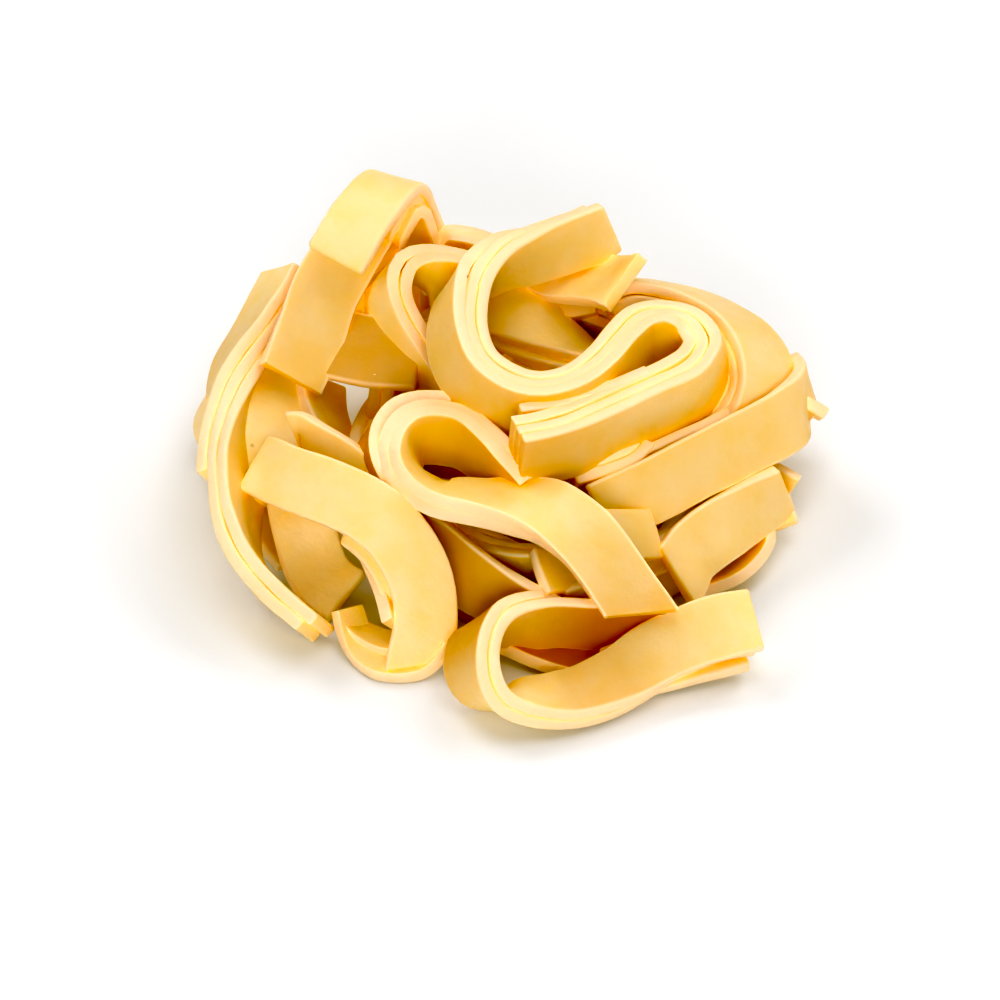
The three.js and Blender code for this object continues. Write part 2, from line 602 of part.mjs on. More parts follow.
// Loose scraps are dropped and sealed hollows filled: only the largest outward shell is kept.
function largestShell(points, faces) {
  const parent = points.map((_, i) => i);
  const root = (i) => {
    while (parent[i] !== i) {
      parent[i] = parent[parent[i]];
      i = parent[i];
    }
    return i;
  };
  for (const [a, b, c] of faces) {
    parent[root(b)] = root(a);
    parent[root(c)] = root(a);
  }
  const shells = new Map();
  for (const face of faces) {
    const shell = shells.get(root(face[0])) ?? { faces: [], volume: 0 };
    const [p, q, r] = face.map((v) => points[v]);
    shell.volume += p.dot(q.clone().cross(r)) / 6;
    shell.faces.push(face);
    shells.set(root(face[0]), shell);
  }
  const order = [...shells.values()].sort((a, b) => b.volume - a.volume);
  return order[0].faces;
}

// Edges shorter than the limit are closed up wherever the surface stays closed and unfolded.
function withoutShortEdges(points, faces) {
  const at = points.map(() => new Set());
  faces.forEach((face, i) => face.forEach((v) => at[v].add(i)));
  const around = (v) => {
    const found = new Set();
    for (const i of at[v]) faces[i].forEach((w) => found.add(w));
    found.delete(v);
    return found;
  };
  const normal = (face, from, to) => {
    const [p, q, r] = face.map((v) => points[v === from ? to : v]);
    return q.clone().sub(p).cross(r.clone().sub(p));
  };
  const closes = (from, to) => {
    const shared = [...around(from)].filter((v) => around(to).has(v));
    if (shared.length !== 2) return false;
    for (const i of at[from]) {
      if (faces[i].includes(to)) continue;
      const before = normal(faces[i]);
      const after = normal(faces[i], from, to);
      if (after.length() < 1e-4 || before.angleTo(after) > 1) return false;
    }
    return true;
  };
  let changed = true;
  while (changed) {
    changed = false;
    faces.forEach((face) => {
      if (!face.length) return;
      for (let k = 0; k < 3; k++) {
        const pair = [face[k], face[(k + 1) % 3]];
        if (points[pair[0]].distanceTo(points[pair[1]]) > SHORTEST_EDGE) continue;
        if (!closes(...pair)) pair.reverse();
        if (!closes(...pair)) continue;
        const [from, to] = pair;
        for (const i of [...at[from]]) {
          if (faces[i].includes(to)) {
            faces[i].forEach((v) => at[v].delete(i));
            faces[i] = [];
          } else {
            faces[i] = faces[i].map((v) => (v === from ? to : v));
            at[to].add(i);
          }
        }
        at[from].clear();
        changed = true;
        return;
      }
    });
  }
  return faces.filter((face) => face.length);
}

// Corners that touch without being joined are moved apart, each a hair towards its own faces.
function keepCornersApart(points, faces) {
  const sum = points.map(() => new THREE.Vector3());
  const uses = points.map(() => 0);
  for (const face of faces) {
    for (const v of face) {
      for (const w of face) sum[v].add(points[w]);
      uses[v] += 3;
    }
  }
  const taken = new Set();
  const cell = (p) => [p.x, p.y, p.z].map((x) => Math.round(x / HAIR)).join();
  points.forEach((p, v) => {
    if (!uses[v]) return;
    const inward = sum[v].divideScalar(uses[v]).sub(p).normalize().multiplyScalar(HAIR);
    while (taken.has(cell(p))) {
      p.add(inward);
    }
    taken.add(cell(p));
  });
}

const { points, faces } = meshOf(nest);
const shell = withoutShortEdges(points, largestShell(points, faces));
keepCornersApart(points, shell);
const geometry = new THREE.BufferGeometry().setFromPoints(points);
geometry.setIndex(shell.flat());
geometry.computeBoundingBox();
const middle = geometry.boundingBox.getCenter(new THREE.Vector3());
geometry.translate(-middle.x, -middle.y, -geometry.boundingBox.min.z);

const dough = new THREE.MeshStandardMaterial({ color: 0xf3cf7a, roughness: 0.6, flatShading: true });
const pasta_nest = new THREE.Mesh(geometry, dough);
pasta_nest.name = "pasta_nest";

const nestGroup = new THREE.Group();
nestGroup.add(pasta_nest);
export default nestGroup;
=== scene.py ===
# %% [markdown]
# # A dry pasta nest
# Egg dough is rolled thin, cut into ribbons, and dropped in loose loops to dry. What is left is
# a stiff tangle: some ribbons lie in neat layers, some fold over, some stand on their edge.
# This lesson lays every ribbon along its own route, gives it its thickness and its soft edges,
# and mixes one dough finish that all of them share.

import math

import bpy
import numpy as np
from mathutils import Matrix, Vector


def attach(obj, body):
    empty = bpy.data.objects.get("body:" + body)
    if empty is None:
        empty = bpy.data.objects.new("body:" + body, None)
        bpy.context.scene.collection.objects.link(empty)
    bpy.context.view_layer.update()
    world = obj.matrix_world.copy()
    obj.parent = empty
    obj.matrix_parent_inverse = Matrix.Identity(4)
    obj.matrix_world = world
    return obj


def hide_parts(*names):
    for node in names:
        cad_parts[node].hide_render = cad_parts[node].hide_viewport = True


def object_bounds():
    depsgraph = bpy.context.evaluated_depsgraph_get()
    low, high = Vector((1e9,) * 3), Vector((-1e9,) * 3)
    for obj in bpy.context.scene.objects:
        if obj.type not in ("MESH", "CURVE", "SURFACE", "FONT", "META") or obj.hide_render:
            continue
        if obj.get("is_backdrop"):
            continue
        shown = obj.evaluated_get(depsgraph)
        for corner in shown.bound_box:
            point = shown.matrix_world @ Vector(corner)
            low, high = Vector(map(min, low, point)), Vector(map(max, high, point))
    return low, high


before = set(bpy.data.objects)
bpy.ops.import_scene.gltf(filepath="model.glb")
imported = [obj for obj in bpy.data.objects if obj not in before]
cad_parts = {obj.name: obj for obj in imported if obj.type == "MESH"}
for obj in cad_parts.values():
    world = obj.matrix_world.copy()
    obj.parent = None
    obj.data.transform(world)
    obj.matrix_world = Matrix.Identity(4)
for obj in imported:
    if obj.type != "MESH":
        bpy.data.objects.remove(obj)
cad_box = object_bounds()
bpy.ops.object.select_all(action="DESELECT")
print("solid nest, mm:", [round(1000 * (b - a), 1) for a, b in zip(*cad_box)])

# %% [markdown]
# ## The drawing board
# The routes are easiest to read from the front and above, so they are drawn on a board that
# leans back at the angle of that view. A station on it has five numbers: across and up on the
# board, height above the table, and how far the ribbon's other edge lies from this one across
# and up. Whatever width is left over points away from the eye, or towards it where a sixth
# number, -1, says so. A board like this keeps each loop where it looks right, and the heights
# keep it where it really lies.

# %% Board directions
MM = 0.001
BOARD_ELEVATION = 42
BOARD_DISTANCE = 700
BOARD_CENTRE = np.array([0, 0, 10.0])
NEST_MIDDLE = np.array([0.954, 6.040, 0])

lean = math.radians(BOARD_ELEVATION)
ACROSS = np.array([1.0, 0, 0])
UP = np.array([0, math.sin(lean), math.cos(lean)])
AWAY = np.array([0, math.cos(lean), -math.sin(lean)])
EYE = BOARD_CENTRE - BOARD_DISTANCE * AWAY


def on_board(across, up, height):
    """The point at a height, on the line from the eye through a place on the board."""
    place = BOARD_CENTRE + across * ACROSS + up * UP
    return EYE + (place - EYE) * (EYE[2] - height) / (EYE[2] - place[2])


print("eye, mm:", EYE.round(1))

# %% [markdown]
# ## The camera
# The same eye looks at the nest. It stands 700 mm off with a long lens, so the ribbons at the
# back look hardly smaller than those in front. The lens follows from the view: 100 mm of board
# fill its width.

# %% Camera
SENSOR = 36
BOARD_IN_VIEW = 100
NEAREST_SEEN = 0.01
FURTHEST_SEEN = 10

bpy.ops.object.camera_add(location=(EYE - NEST_MIDDLE) * MM)
camera = bpy.context.object
camera.name = "front_camera"
camera.rotation_euler = (math.radians(90 - BOARD_ELEVATION), 0, 0)
camera.data.sensor_width = SENSOR
camera.data.lens = SENSOR * BOARD_DISTANCE / BOARD_IN_VIEW
camera.data.clip_start = NEAREST_SEEN
camera.data.clip_end = FURTHEST_SEEN
bpy.context.scene.camera = camera
print("lens, mm:", camera.data.lens)

# %% [markdown]
# ## Contrast and warm shadows
# Deep between the ribbons of egg pasta the shade is a strong yellow, not a grey. A gentle curve
# adds contrast, and a black level that is highest for blue takes the blue out of the shadows
# first. White stays where it is, because the levels move only what is darker.

# %% View
CONTRAST = 1.15
CURVE_STOPS = (0.06, 0.15, 0.3, 0.5, 0.75)
ALL_COLOURS_CURVE = 3
BLACK_LEVEL = (0.03, 0.055, 0.14)

view = bpy.context.scene.view_settings
view.view_transform = "Standard"
view.use_curve_mapping = True
tone_curve = view.curve_mapping.curves[ALL_COLOURS_CURVE]
for light in CURVE_STOPS:
    tone_curve.points.new(light, light**CONTRAST)
view.curve_mapping.black_level = BLACK_LEVEL
view.curve_mapping.update()
print("view:", view.view_transform, "with", len(tone_curve.points), "points on the curve")

# %% [markdown]
# ## The table
# A nest like this is laid out on a plain white table. A grid of a few metres is enough for it,
# and its paint is nearly matt, so that it throws pale light up at the ribbons and shows no
# bright patch of its own.

# %% Floor
FLOOR_SIZE = 4
FLOOR_CELLS = 8
TABLE_WHITE = (0.9, 0.9, 0.9, 1)
TABLE_ROUGHNESS = 0.8
TABLE_GLOSS = 0.1

bpy.ops.mesh.primitive_grid_add(
    x_subdivisions=FLOOR_CELLS, y_subdivisions=FLOOR_CELLS, size=FLOOR_SIZE
)
floor = bpy.context.object
floor.name = "floor"
floor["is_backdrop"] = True

white = bpy.data.materials.new("white_table")
white.use_nodes = True
paint = white.node_tree.nodes["Principled BSDF"]
paint.inputs["Base Color"].default_value = TABLE_WHITE
paint.inputs["Roughness"].default_value = TABLE_ROUGHNESS
paint.inputs["Specular IOR Level"].default_value = TABLE_GLOSS
floor.data.materials.append(white)
print("floor:", len(floor.data.polygons), "faces")

# %% [markdown]
# ## Soft light
# Dry pasta looks warm because light goes into the dough and comes out yellow. Two square lamps
# high at the back give the tops their light and let the shadows fall softly towards the front.
# Others above, at the sides and in front fill the faces that hang down. A lit sky alone would
# be quicker to set up, but it leaves hardly any shadow to tell one ribbon from the next, so it
# is kept very weak.

# %% Lamps
SKY_COLOUR = (1, 0.995, 0.985, 1)
SKY_STRENGTH = 0.035
LAMP_AIM = np.array([0, 0, 0.01])

world = bpy.data.worlds.new("soft_room")
bpy.context.scene.world = world
world.use_nodes = True
sky = world.node_tree.nodes["Background"]
sky.inputs["Color"].default_value = SKY_COLOUR
sky.inputs["Strength"].default_value = SKY_STRENGTH


def softbox(name, place, size, watts):
    """An area lamp, wide and high as given in metres, that faces the nest."""
    bpy.ops.object.light_add(type="AREA", location=place)
    lamp = bpy.context.object
    lamp.name = name
    lamp.data.shape = "RECTANGLE"
    lamp.data.size, lamp.data.size_y = size
    lamp.data.energy = watts
    away = np.array(place) - LAMP_AIM
    turn = math.atan2(away[0], -away[1])
    tilt = math.atan2(math.hypot(away[0], away[1]), away[2])
    lamp.rotation_euler = (tilt, 0, turn)
    print(f"{name}: {watts} W")


softbox("back_left_softbox", (-0.40, 0.46, 0.58), (0.45, 0.45), 2.7)
softbox("back_right_softbox", (0.42, 0.45, 0.58), (0.45, 0.45), 2.5)
softbox("top_softbox", (0.10, 0.0, 0.75), (0.5, 0.5), 1.9)
softbox("left_softbox", (-0.70, 0.0, 0.45), (0.45, 0.45), 1.25)
softbox("right_softbox", (0.70, 0.0, 0.45), (0.45, 0.45), 1.4)
softbox("front_softbox", (-0.05, -0.76, 0.34), (0.5, 0.4), 4.2)

# %% [markdown]
# ## The dough finish
# Dried egg dough is pale gold and slightly see-through, with a soft mottle, a fine grain and a
# few bran specks. An image texture could be wrapped round the ribbons, but it would show
# its seams and repeat itself. Noise in the nest's own space does neither, so the finish is mixed
# from nodes, and three helpers keep that short: noise, a soft step, and a blend of two colours.

# %% Helpers for the finish
# The sockets of a Mix node that blends colours.
MIX_SHARE = 0
MIX_FIRST = 6
MIX_SECOND = 7
MIX_RESULT = 2

dry_dough = bpy.data.materials.new("dry_dough")
dry_dough.use_nodes = True
nodes, links = dry_dough.node_tree.nodes, dry_dough.node_tree.links
dough_shader = nodes["Principled BSDF"]
coordinates = nodes.new("ShaderNodeTexCoord")


def noise(scale, detail, rough=0.5):
    """Noise in the nest's own space. The scale is the number of its patches in a metre."""
    made = nodes.new("ShaderNodeTexNoise")
    made.inputs["Scale"].default_value = scale
    made.inputs["Detail"].default_value = detail
    made.inputs["Roughness"].default_value = rough
    links.new(coordinates.outputs["Object"], made.inputs["Vector"])
    return made.outputs["Fac"]


def spread(value, low, high, to_low=0.0, to_high=1.0):
    """A soft step: from to_low, where the value is low, to to_high, where it is high."""
    made = nodes.new("ShaderNodeMapRange")
    made.interpolation_type = "SMOOTHSTEP"
    made.inputs["From Min"].default_value = low
    made.inputs["From Max"].default_value = high
    made.inputs["To Min"].default_value = to_low
    made.inputs["To Max"].default_value = to_high
    links.new(value, made.inputs["Value"])
    return made.outputs["Result"]


def blend(share, first, second):
    """The first colour, with a share of the second over it."""
    made = nodes.new("ShaderNodeMix")
    made.data_type = "RGBA"
    for socket, colour in ((MIX_FIRST, first), (MIX_SECOND, second)):
        if isinstance(colour, tuple):
            made.inputs[socket].default_value = colour
        else:
            links.new(colour, made.inputs[socket])
    links.new(share, made.inputs[MIX_SHARE])
    return made.outputs[MIX_RESULT]


print("finish started:", dry_dough.name)

# %% [markdown]
# ## Gold, with painted orange and brown shade
# Two close golds lie in patches about 4 mm wide. Light that has passed through several ribbons
# comes out orange, and the deepest shade is brown: both are painted into the colour here. That
# depends on how the nest lies and not on any noise, so every point of the mesh carries two shares
# of its own, one for the painted orange and one for the painted brown. Both are set in later
# cells, and here they only steer the colour.

# %% Mottle and painted shade
DOUGH_PALE = (0.985, 0.75, 0.41, 1)
DOUGH_DEEP = (0.98, 0.705, 0.31, 1)
# Painted shade colours: orange for crowded places, brown for ribbons that lie in shade.
PAINTED_ORANGE_SHADE = (1.0, 0.64, 0.09, 1)
PAINTED_BROWN_SHADE = (0.50, 0.17, 0.0, 1)
MOTTLE_NOISE = (260, 3)
MOTTLE_RANGE = (0.30, 0.72)

mottle = spread(noise(*MOTTLE_NOISE), *MOTTLE_RANGE)
dough_colour = blend(mottle, DOUGH_PALE, DOUGH_DEEP)
# Painted shade: orange by the crowding share, brown by the ribbon's own share.
for share_name, deeper in (("painted_orange_share", PAINTED_ORANGE_SHADE), ("painted_brown_share", PAINTED_BROWN_SHADE)):
    carried = nodes.new("ShaderNodeAttribute")
    carried.attribute_name = share_name
    dough_colour = blend(carried.outputs["Fac"], dough_colour, deeper)
print("mottle and shade:", len(nodes), "nodes")

# %% [markdown]
# ## Creamy cut edges, with a painted highlight
# The cut edges look creamier than the rolled faces, and their colour also stands in part for a
# painted highlight on the rounded edges. They could be a second material, but the change is soft.
# The ribbon's own map runs from 0 to 1 across its width, so the distance from 0.5 says how near
# the edge is.

# %% Edge colour and painted highlight
# Cream of the cut edges: partly their own colour, partly a painted highlight.
EDGE_CREAM_AND_HIGHLIGHT = (0.985, 0.725, 0.47, 1)
EDGE_RANGE = (0.44, 0.5)
MIDDLE_LINE = 0.5


def calculate(operation, first, second=0.0):
    """Arithmetic on a node's output and, where it takes two, a number or another output."""
    made = nodes.new("ShaderNodeMath")
    made.operation = operation
    links.new(first, made.inputs[0])
    if isinstance(second, float):
        made.inputs[1].default_value = second
    else:
        links.new(second, made.inputs[1])
    return made.outputs["Value"]


ribbon_map = nodes.new("ShaderNodeSeparateXYZ")
links.new(coordinates.outputs["UV"], ribbon_map.inputs["Vector"])
from_middle = calculate("SUBTRACT", ribbon_map.outputs["Y"], MIDDLE_LINE)
cut_edge_and_highlight = spread(calculate("ABSOLUTE", from_middle), *EDGE_RANGE)
dough_colour = blend(cut_edge_and_highlight, dough_colour, EDGE_CREAM_AND_HIGHLIGHT)
print("edges begin at", EDGE_RANGE[0], "of the width from the middle")

# %% [markdown]
# ## Bran specks
# A little bran stays in the flour and shows as brown specks. Voronoi cells place one dot each,
# and a slow noise keeps most patches clear of them, or the dots would look evenly sown.

# %% Specks
BRAN = (0.30, 0.13, 0.03, 1)
SPECK_SCALE = 210
SPECK_RANGE = (0.03, 0.075)
PATCH_NOISE = (95, 0)
PATCH_RANGE = (0.60, 0.66)

specks = nodes.new("ShaderNodeTexVoronoi")
specks.inputs["Scale"].default_value = SPECK_SCALE
specks.inputs["Randomness"].default_value = 1
links.new(coordinates.outputs["Object"], specks.inputs["Vector"])
dots = spread(specks.outputs["Distance"], *SPECK_RANGE, 1, 0)
patches = spread(noise(*PATCH_NOISE), *PATCH_RANGE)
dough_colour = blend(calculate("MULTIPLY", dots, patches), dough_colour, BRAN)
links.new(dough_colour, dough_shader.inputs["Base Color"])
print("specks fade out", round(SPECK_RANGE[1] / SPECK_SCALE / MM, 2), "mm from their middle")

# %% [markdown]
# ## Grain, waves and gloss
# The rollers leave a fine grain and the drying leaves low waves. Both are too fine for this mesh
# to show well, so they are bumps. Light spreads inside the dough, red the furthest, so thin
# places glow: that is subsurface scattering. A scattering volume would be truer, and far too
# slow.

# %% Grain, waves and gloss
GRAIN_NOISE = (3200, 4, 0.65)
GRAIN_STRENGTH = 0.28
GRAIN_DEPTH = 0.00012
WAVE_NOISE = (520, 2)
WAVE_STRENGTH = 0.35
WAVE_DEPTH = 0.0004
GLOSS_NOISE = (900, 3)
GLOSS_RANGE = (0.3, 0.7)
ROUGHNESS_RANGE = (0.38, 0.52)
DOUGH_SPECULAR = 0.55
LIGHT_SPREAD = 0.0018
SPREAD_OF_RED_GREEN_BLUE = (1.0, 0.5, 0.15)


def relief(height, strength, depth):
    """A bump of the given depth in metres."""
    made = nodes.new("ShaderNodeBump")
    made.inputs["Strength"].default_value = strength
    made.inputs["Distance"].default_value = depth
    links.new(height, made.inputs["Height"])
    return made


grain = relief(noise(*GRAIN_NOISE), GRAIN_STRENGTH, GRAIN_DEPTH)
waves = relief(noise(*WAVE_NOISE), WAVE_STRENGTH, WAVE_DEPTH)
links.new(grain.outputs["Normal"], waves.inputs["Normal"])
links.new(waves.outputs["Normal"], dough_shader.inputs["Normal"])
gloss = spread(noise(*GLOSS_NOISE), *GLOSS_RANGE, *ROUGHNESS_RANGE)
links.new(gloss, dough_shader.inputs["Roughness"])
dough_shader.inputs["Specular IOR Level"].default_value = DOUGH_SPECULAR
dough_shader.subsurface_method = "BURLEY"
dough_shader.inputs["Subsurface Weight"].default_value = 1.0
dough_shader.inputs["Subsurface Radius"].default_value = SPREAD_OF_RED_GREEN_BLUE
dough_shader.inputs["Subsurface Scale"].default_value = LIGHT_SPREAD
print("finish:", dry_dough.name, len(nodes), "nodes")

# %% [markdown]
# ## A smooth route
# A ribbon bends without corners. A Catmull-Rom curve runs through every station, and the
# centripetal kind doesn't overshoot where stations stand close together, as they do in a tight
# fold. A Bezier curve would need two handles set for each station. The line to the other edge
# is smoothed in the same way.

# %% Curve through stations
SAME_PLACE = 1e-4


def gap(first, second):
    """The square root of the distance from one row of points to another."""
    return np.sum((first - second) ** 2, axis=1)[:, None] ** 0.25


def smooth(points, count):
    """Places on a centripetal Catmull-Rom curve through the points."""
    knots = np.asarray(points, float)
    knots = np.vstack([2 * knots[0] - knots[1], knots, 2 * knots[-1] - knots[-2]])
    along = np.linspace(0, len(points) - 1, count)
    stretch = np.minimum(along.astype(int), len(points) - 2)
    share = (along - stretch)[:, None]
    before, start, end, after = (knots[stretch + k] for k in range(4))
    middle = gap(start, end)
    middle = np.where(middle < SAME_PLACE, 1, middle)
    first = np.where(gap(before, start) < SAME_PLACE, middle, gap(before, start))
    last = np.where(gap(end, after) < SAME_PLACE, middle, gap(end, after))
    leave = (start - before) / first - (end - before) / (first + middle) + (end - start) / middle
    arrive = (end - start) / middle - (after - start) / (middle + last) + (after - end) / last
    leave, arrive = leave * middle, arrive * middle
    square = 3 * end - 3 * start - 2 * leave - arrive
    cube = 2 * start - 2 * end + leave + arrive
    return start + leave * share + square * share**2 + cube * share**3


print("test curve:", smooth([[0, 0, 0], [1, 1, 0], [2, 0, 0]], 3).round(2).tolist())

# %% [markdown]
# ## Rows across a ribbon
# Along the route a ribbon is cut into rows, one for each 0.8 mm where it shows. A row knows its
# place, the way the ribbon runs, the way across to its other edge, and the way its face looks.
# The last two are kept square to the run, or the ribbon would be pinched where it twists.

# %% Rows
RIBBON_WIDTH = 6.5
ROW_STEP = 0.8
FEWEST_ROWS = 3
FINE_PLACES = 60
TINY = 1e-6


def width_of(face_across, face_up, side=1):
    """The vector from a route to the ribbon's other edge, nearer to the eye where side is -1."""
    fits = min(1, RIBBON_WIDTH / max(math.hypot(face_across, face_up), TINY))
    across, up = face_across * fits, face_up * fits
    depth = math.sqrt(max(RIBBON_WIDTH**2 - across * across - up * up, 0))
    return across * ACROSS + up * UP + depth * side * AWAY


def rows_along(points, widths, row_step=ROW_STEP):
    """Place, run, across and face of every row, with its length along the route."""
    fine = FINE_PLACES * len(points)
    place, across = smooth(points, fine), smooth(widths, fine)
    length = np.r_[0, np.cumsum(np.linalg.norm(np.diff(place, axis=0), axis=1))]
    at = np.linspace(0, length[-1], max(FEWEST_ROWS, round(length[-1] / row_step) + 1))
    place = np.stack([np.interp(at, length, place[:, k]) for k in range(3)], -1)
    across = np.stack([np.interp(at, length, across[:, k]) for k in range(3)], -1)
    run = np.gradient(place, at, axis=0)
    run /= np.linalg.norm(run, axis=1)[:, None]
    across -= np.sum(across * run, axis=1)[:, None] * run
    across /= np.linalg.norm(across, axis=1)[:, None]
    return {"place": place, "run": run, "across": across, "face": np.cross(run, across), "at": at}


print("a ribbon seen on its edge has its width at", width_of(0, 0).round(2))

# %% [markdown]
# ## Thickness and soft edges
# The dough is 1.3 mm thick, and drying rounds its cut edges. Both could be modelled row by row,
# but a flat sheet is far easier to lay. A Solidify modifier thickens it to both sides, and a
# Bevel rounds only the sharp edges, which are the cut ones.

# %% Thickness
RIBBON_THICKNESS = 1.31
EDGE_ROUND = 0.34
EDGE_STEPS = 3
SHARP_ANGLE = 50


def thicken_and_soften(ribbon):
    """The sheet's thickness, then its rounded edges, both applied."""
    bpy.ops.object.modifier_add(type="SOLIDIFY")
    solid = ribbon.modifiers[-1]
    solid.thickness = RIBBON_THICKNESS * MM
    solid.offset = 0
    bpy.ops.object.modifier_apply(modifier=solid.name)
    bpy.ops.object.modifier_add(type="BEVEL")
    soft = ribbon.modifiers[-1]
    soft.width = EDGE_ROUND * MM
    soft.segments = EDGE_STEPS
    soft.limit_method = "ANGLE"
    soft.angle_limit = math.radians(SHARP_ANGLE)
    bpy.ops.object.modifier_apply(modifier=soft.name)
    bpy.ops.object.shade_smooth()


print("each ribbon is", RIBBON_WIDTH, "by", RIBBON_THICKNESS, "mm")

# %% [markdown]
# ## Drift
# No ribbon dries quite straight. Three sine waves of different lengths, each started at a random
# place, make a drift that doesn't repeat within one ribbon. Noise would do as well, but waves
# keep the drift within a known size. The random numbers have a seed, so that the nest is the
# same each time.

# %% Drift
SEED = 7
HEIGHTS_AND_SPEEDS = ((1.0, 1.0), (0.6, 1.7), (0.4, 3.1))
chance = np.random.default_rng(SEED)


def wander(at, size, wavelength):
    """A slow, smooth drift along a ribbon, its size and wavelength in millimetres."""
    starts = chance.uniform(0, 2 * math.pi, len(HEIGHTS_AND_SPEEDS))
    turn = 2 * math.pi * at / wavelength
    drift = 0
    for (height, speed), start in zip(HEIGHTS_AND_SPEEDS, starts):
        drift = drift + height * np.sin(speed * turn + start)
    return size * drift


print("random numbers start from", SEED)

# %% [markdown]
# ## From a sheet to a ribbon
# A ribbon is a thin sheet that was rolled, cut and bent. It could be swept as a curve with a
# bevel, but then the twist is hard to steer. A grid does it directly: each row of the grid is
# laid on one row of the route. Its columns stand closer together near the edges, where the form
# turns. Edges drift by about a tenth of a millimetre, and the faces cup a little.

# %% Ribbon maker
COLUMNS = np.array([0, 0.05, 0.16, 0.33, 0.5, 0.67, 0.84, 0.95, 1])
END_TAPER = 6
NEAR_EDGE_DRIFT = (0.05, 23)
FAR_EDGE_DRIFT = (0.06, 19)
FACE_DRIFT = (0.035, 15)
# The usual share of painted brown shade on a ribbon, and its random spread.
USUAL_TONE = 0.15
TONE_SPREAD = 0.05
ribbons = []


def gather(items, key, parts=3):
    """One property of many mesh elements as rows of numbers."""
    flat = np.zeros(parts * len(items))
    items.foreach_get(key, flat)
    return flat.reshape(-1, parts)


def new_sheet(name, row_count):
    """A flat grid, with the row and the column that each of its points belongs to."""
    bpy.ops.mesh.primitive_grid_add(
        x_subdivisions=row_count - 1, y_subdivisions=len(COLUMNS) - 1, size=1
    )
    sheet = bpy.context.object
    sheet.name = name
    flat = gather(sheet.data.vertices, "co")
    row = np.rint((flat[:, 0] + 0.5) * (row_count - 1)).astype(int)
    column = np.rint((flat[:, 1] + 0.5) * (len(COLUMNS) - 1)).astype(int)
    return sheet, row, column


def lay_ribbon(name, rows, wide=RIBBON_WIDTH, skew=(0, 0), cup=0.0, deep=USUAL_TONE):
    """One closed ribbon along its rows, with its own map and its share of painted brown shade."""
    at = rows["at"] - rows["at"][0]
    near = rows["place"] + rows["across"] * wander(at, *NEAR_EDGE_DRIFT)[:, None]
    far_drift = wander(at, *FAR_EDGE_DRIFT)
    bulge = wander(at, *FACE_DRIFT)
    slant = skew[0] * np.clip(1 - at / END_TAPER, 0, 1)
    slant += skew[1] * np.clip(1 - (at[-1] - at) / END_TAPER, 0, 1)
    ribbon, row, column = new_sheet(name, len(at))
    mesh = ribbon.data
    over = COLUMNS[column]
    laid = near[row] + rows["across"][row] * (over * (wide + far_drift[row]))[:, None]
    laid += rows["run"][row] * (over * slant[row])[:, None]
    lift = bulge[row] + cup * (1 - (2 * over - 1) ** 2)
    laid += rows["face"][row] * lift[:, None]
    mesh.vertices.foreach_set("co", ((laid - NEST_MIDDLE) * MM).ravel())
    corner = np.zeros(len(mesh.loops), int)
    mesh.loops.foreach_get("vertex_index", corner)
    chart = np.stack([at[row] / wide, over], -1)[corner]
    mesh.uv_layers.active.data.foreach_set("uv", chart.ravel())
    # Painted brown shade along the ribbon, as its plan's "deep" gives it, with a little random
    # spread.
    painted_brown_share = mesh.attributes.new("painted_brown_share", "FLOAT", "POINT")
    brown = np.interp(at, np.linspace(0, at[-1], np.size(deep)), np.atleast_1d(deep))
    brown += chance.uniform(-TONE_SPREAD, TONE_SPREAD)
    painted_brown_share.data.foreach_set("value", brown[row])
    thicken_and_soften(ribbon)
    ribbons.append(ribbon)


print("a ribbon has", len(COLUMNS), "columns")

# %% [markdown]
# ## Bundles
# Ribbons that fell together lie face to face. An Array modifier would repeat one ribbon, but on
# a real bundle every layer ends a little sooner or later. So a plan holds one route for all
# layers, and for each layer a row of numbers: how many pitches beside the route it lies, how
# many millimetres its start and its end are trimmed, how far it is moved towards its other
# edge, and, where there is a fifth, how much further its start is moved. "skew" cuts the two
# ends at a slant, "width" is for a ribbon that is wider or narrower than the rest, and "deep"
# says how much painted brown shade it takes, as one number or as several from its start to its
# end. Below zero it takes none and is painted lighter.

# %% Bundle maker
LAYER_PITCH = 1.32
SINK_LENGTH = 16
MOST_CUP = 0.12
ONE_LAYER = [[0, 0, 0, 0]]


def lay_bundle(name, plan):
    """All layers of one route, side by side."""
    points = [on_board(*station[:3]) for station in plan["route"]]
    widths = [width_of(*station[3:]) for station in plan["route"]]
    rows = rows_along(points, widths)
    total = rows["at"][-1]
    cup = chance.uniform(-MOST_CUP, MOST_CUP)
    layers = plan.get("layers", ONE_LAYER)
    for k, numbers in enumerate(layers):
        pitches, trim_start, trim_end, step, sink = [*numbers, 0][:5]
        kept = (rows["at"] >= trim_start - TINY) & (rows["at"] <= total - trim_end + TINY)
        layer = {key: value[kept].copy() for key, value in rows.items()}
        step += sink * np.clip(1 - (layer["at"] / SINK_LENGTH) ** 2, 0, 1)[:, None]
        layer["place"] += layer["face"] * pitches * LAYER_PITCH + layer["across"] * step
        lay_ribbon(
            f"{name}_{k}",
            layer,
            plan.get("width", RIBBON_WIDTH),
            plan.get("skew", (0, 0)),
            cup,
            plan.get("deep", USUAL_TONE),
        )
    print(f"{name}: {len(layers)} layers of {total:.0f} mm")


print("layers lie", LAYER_PITCH, "mm apart")

# %% [markdown]
# ## The front loop
# A ribbon bends back on itself at the front like a hairpin. Its near leg leans back low over the
# table and rises towards its cut end. A second layer follows inside it, and two more ribbons lie
# under them. The hairpin could be bent from a straight strip with a Curve modifier, but the
# stations place the fold and the twist in one go.

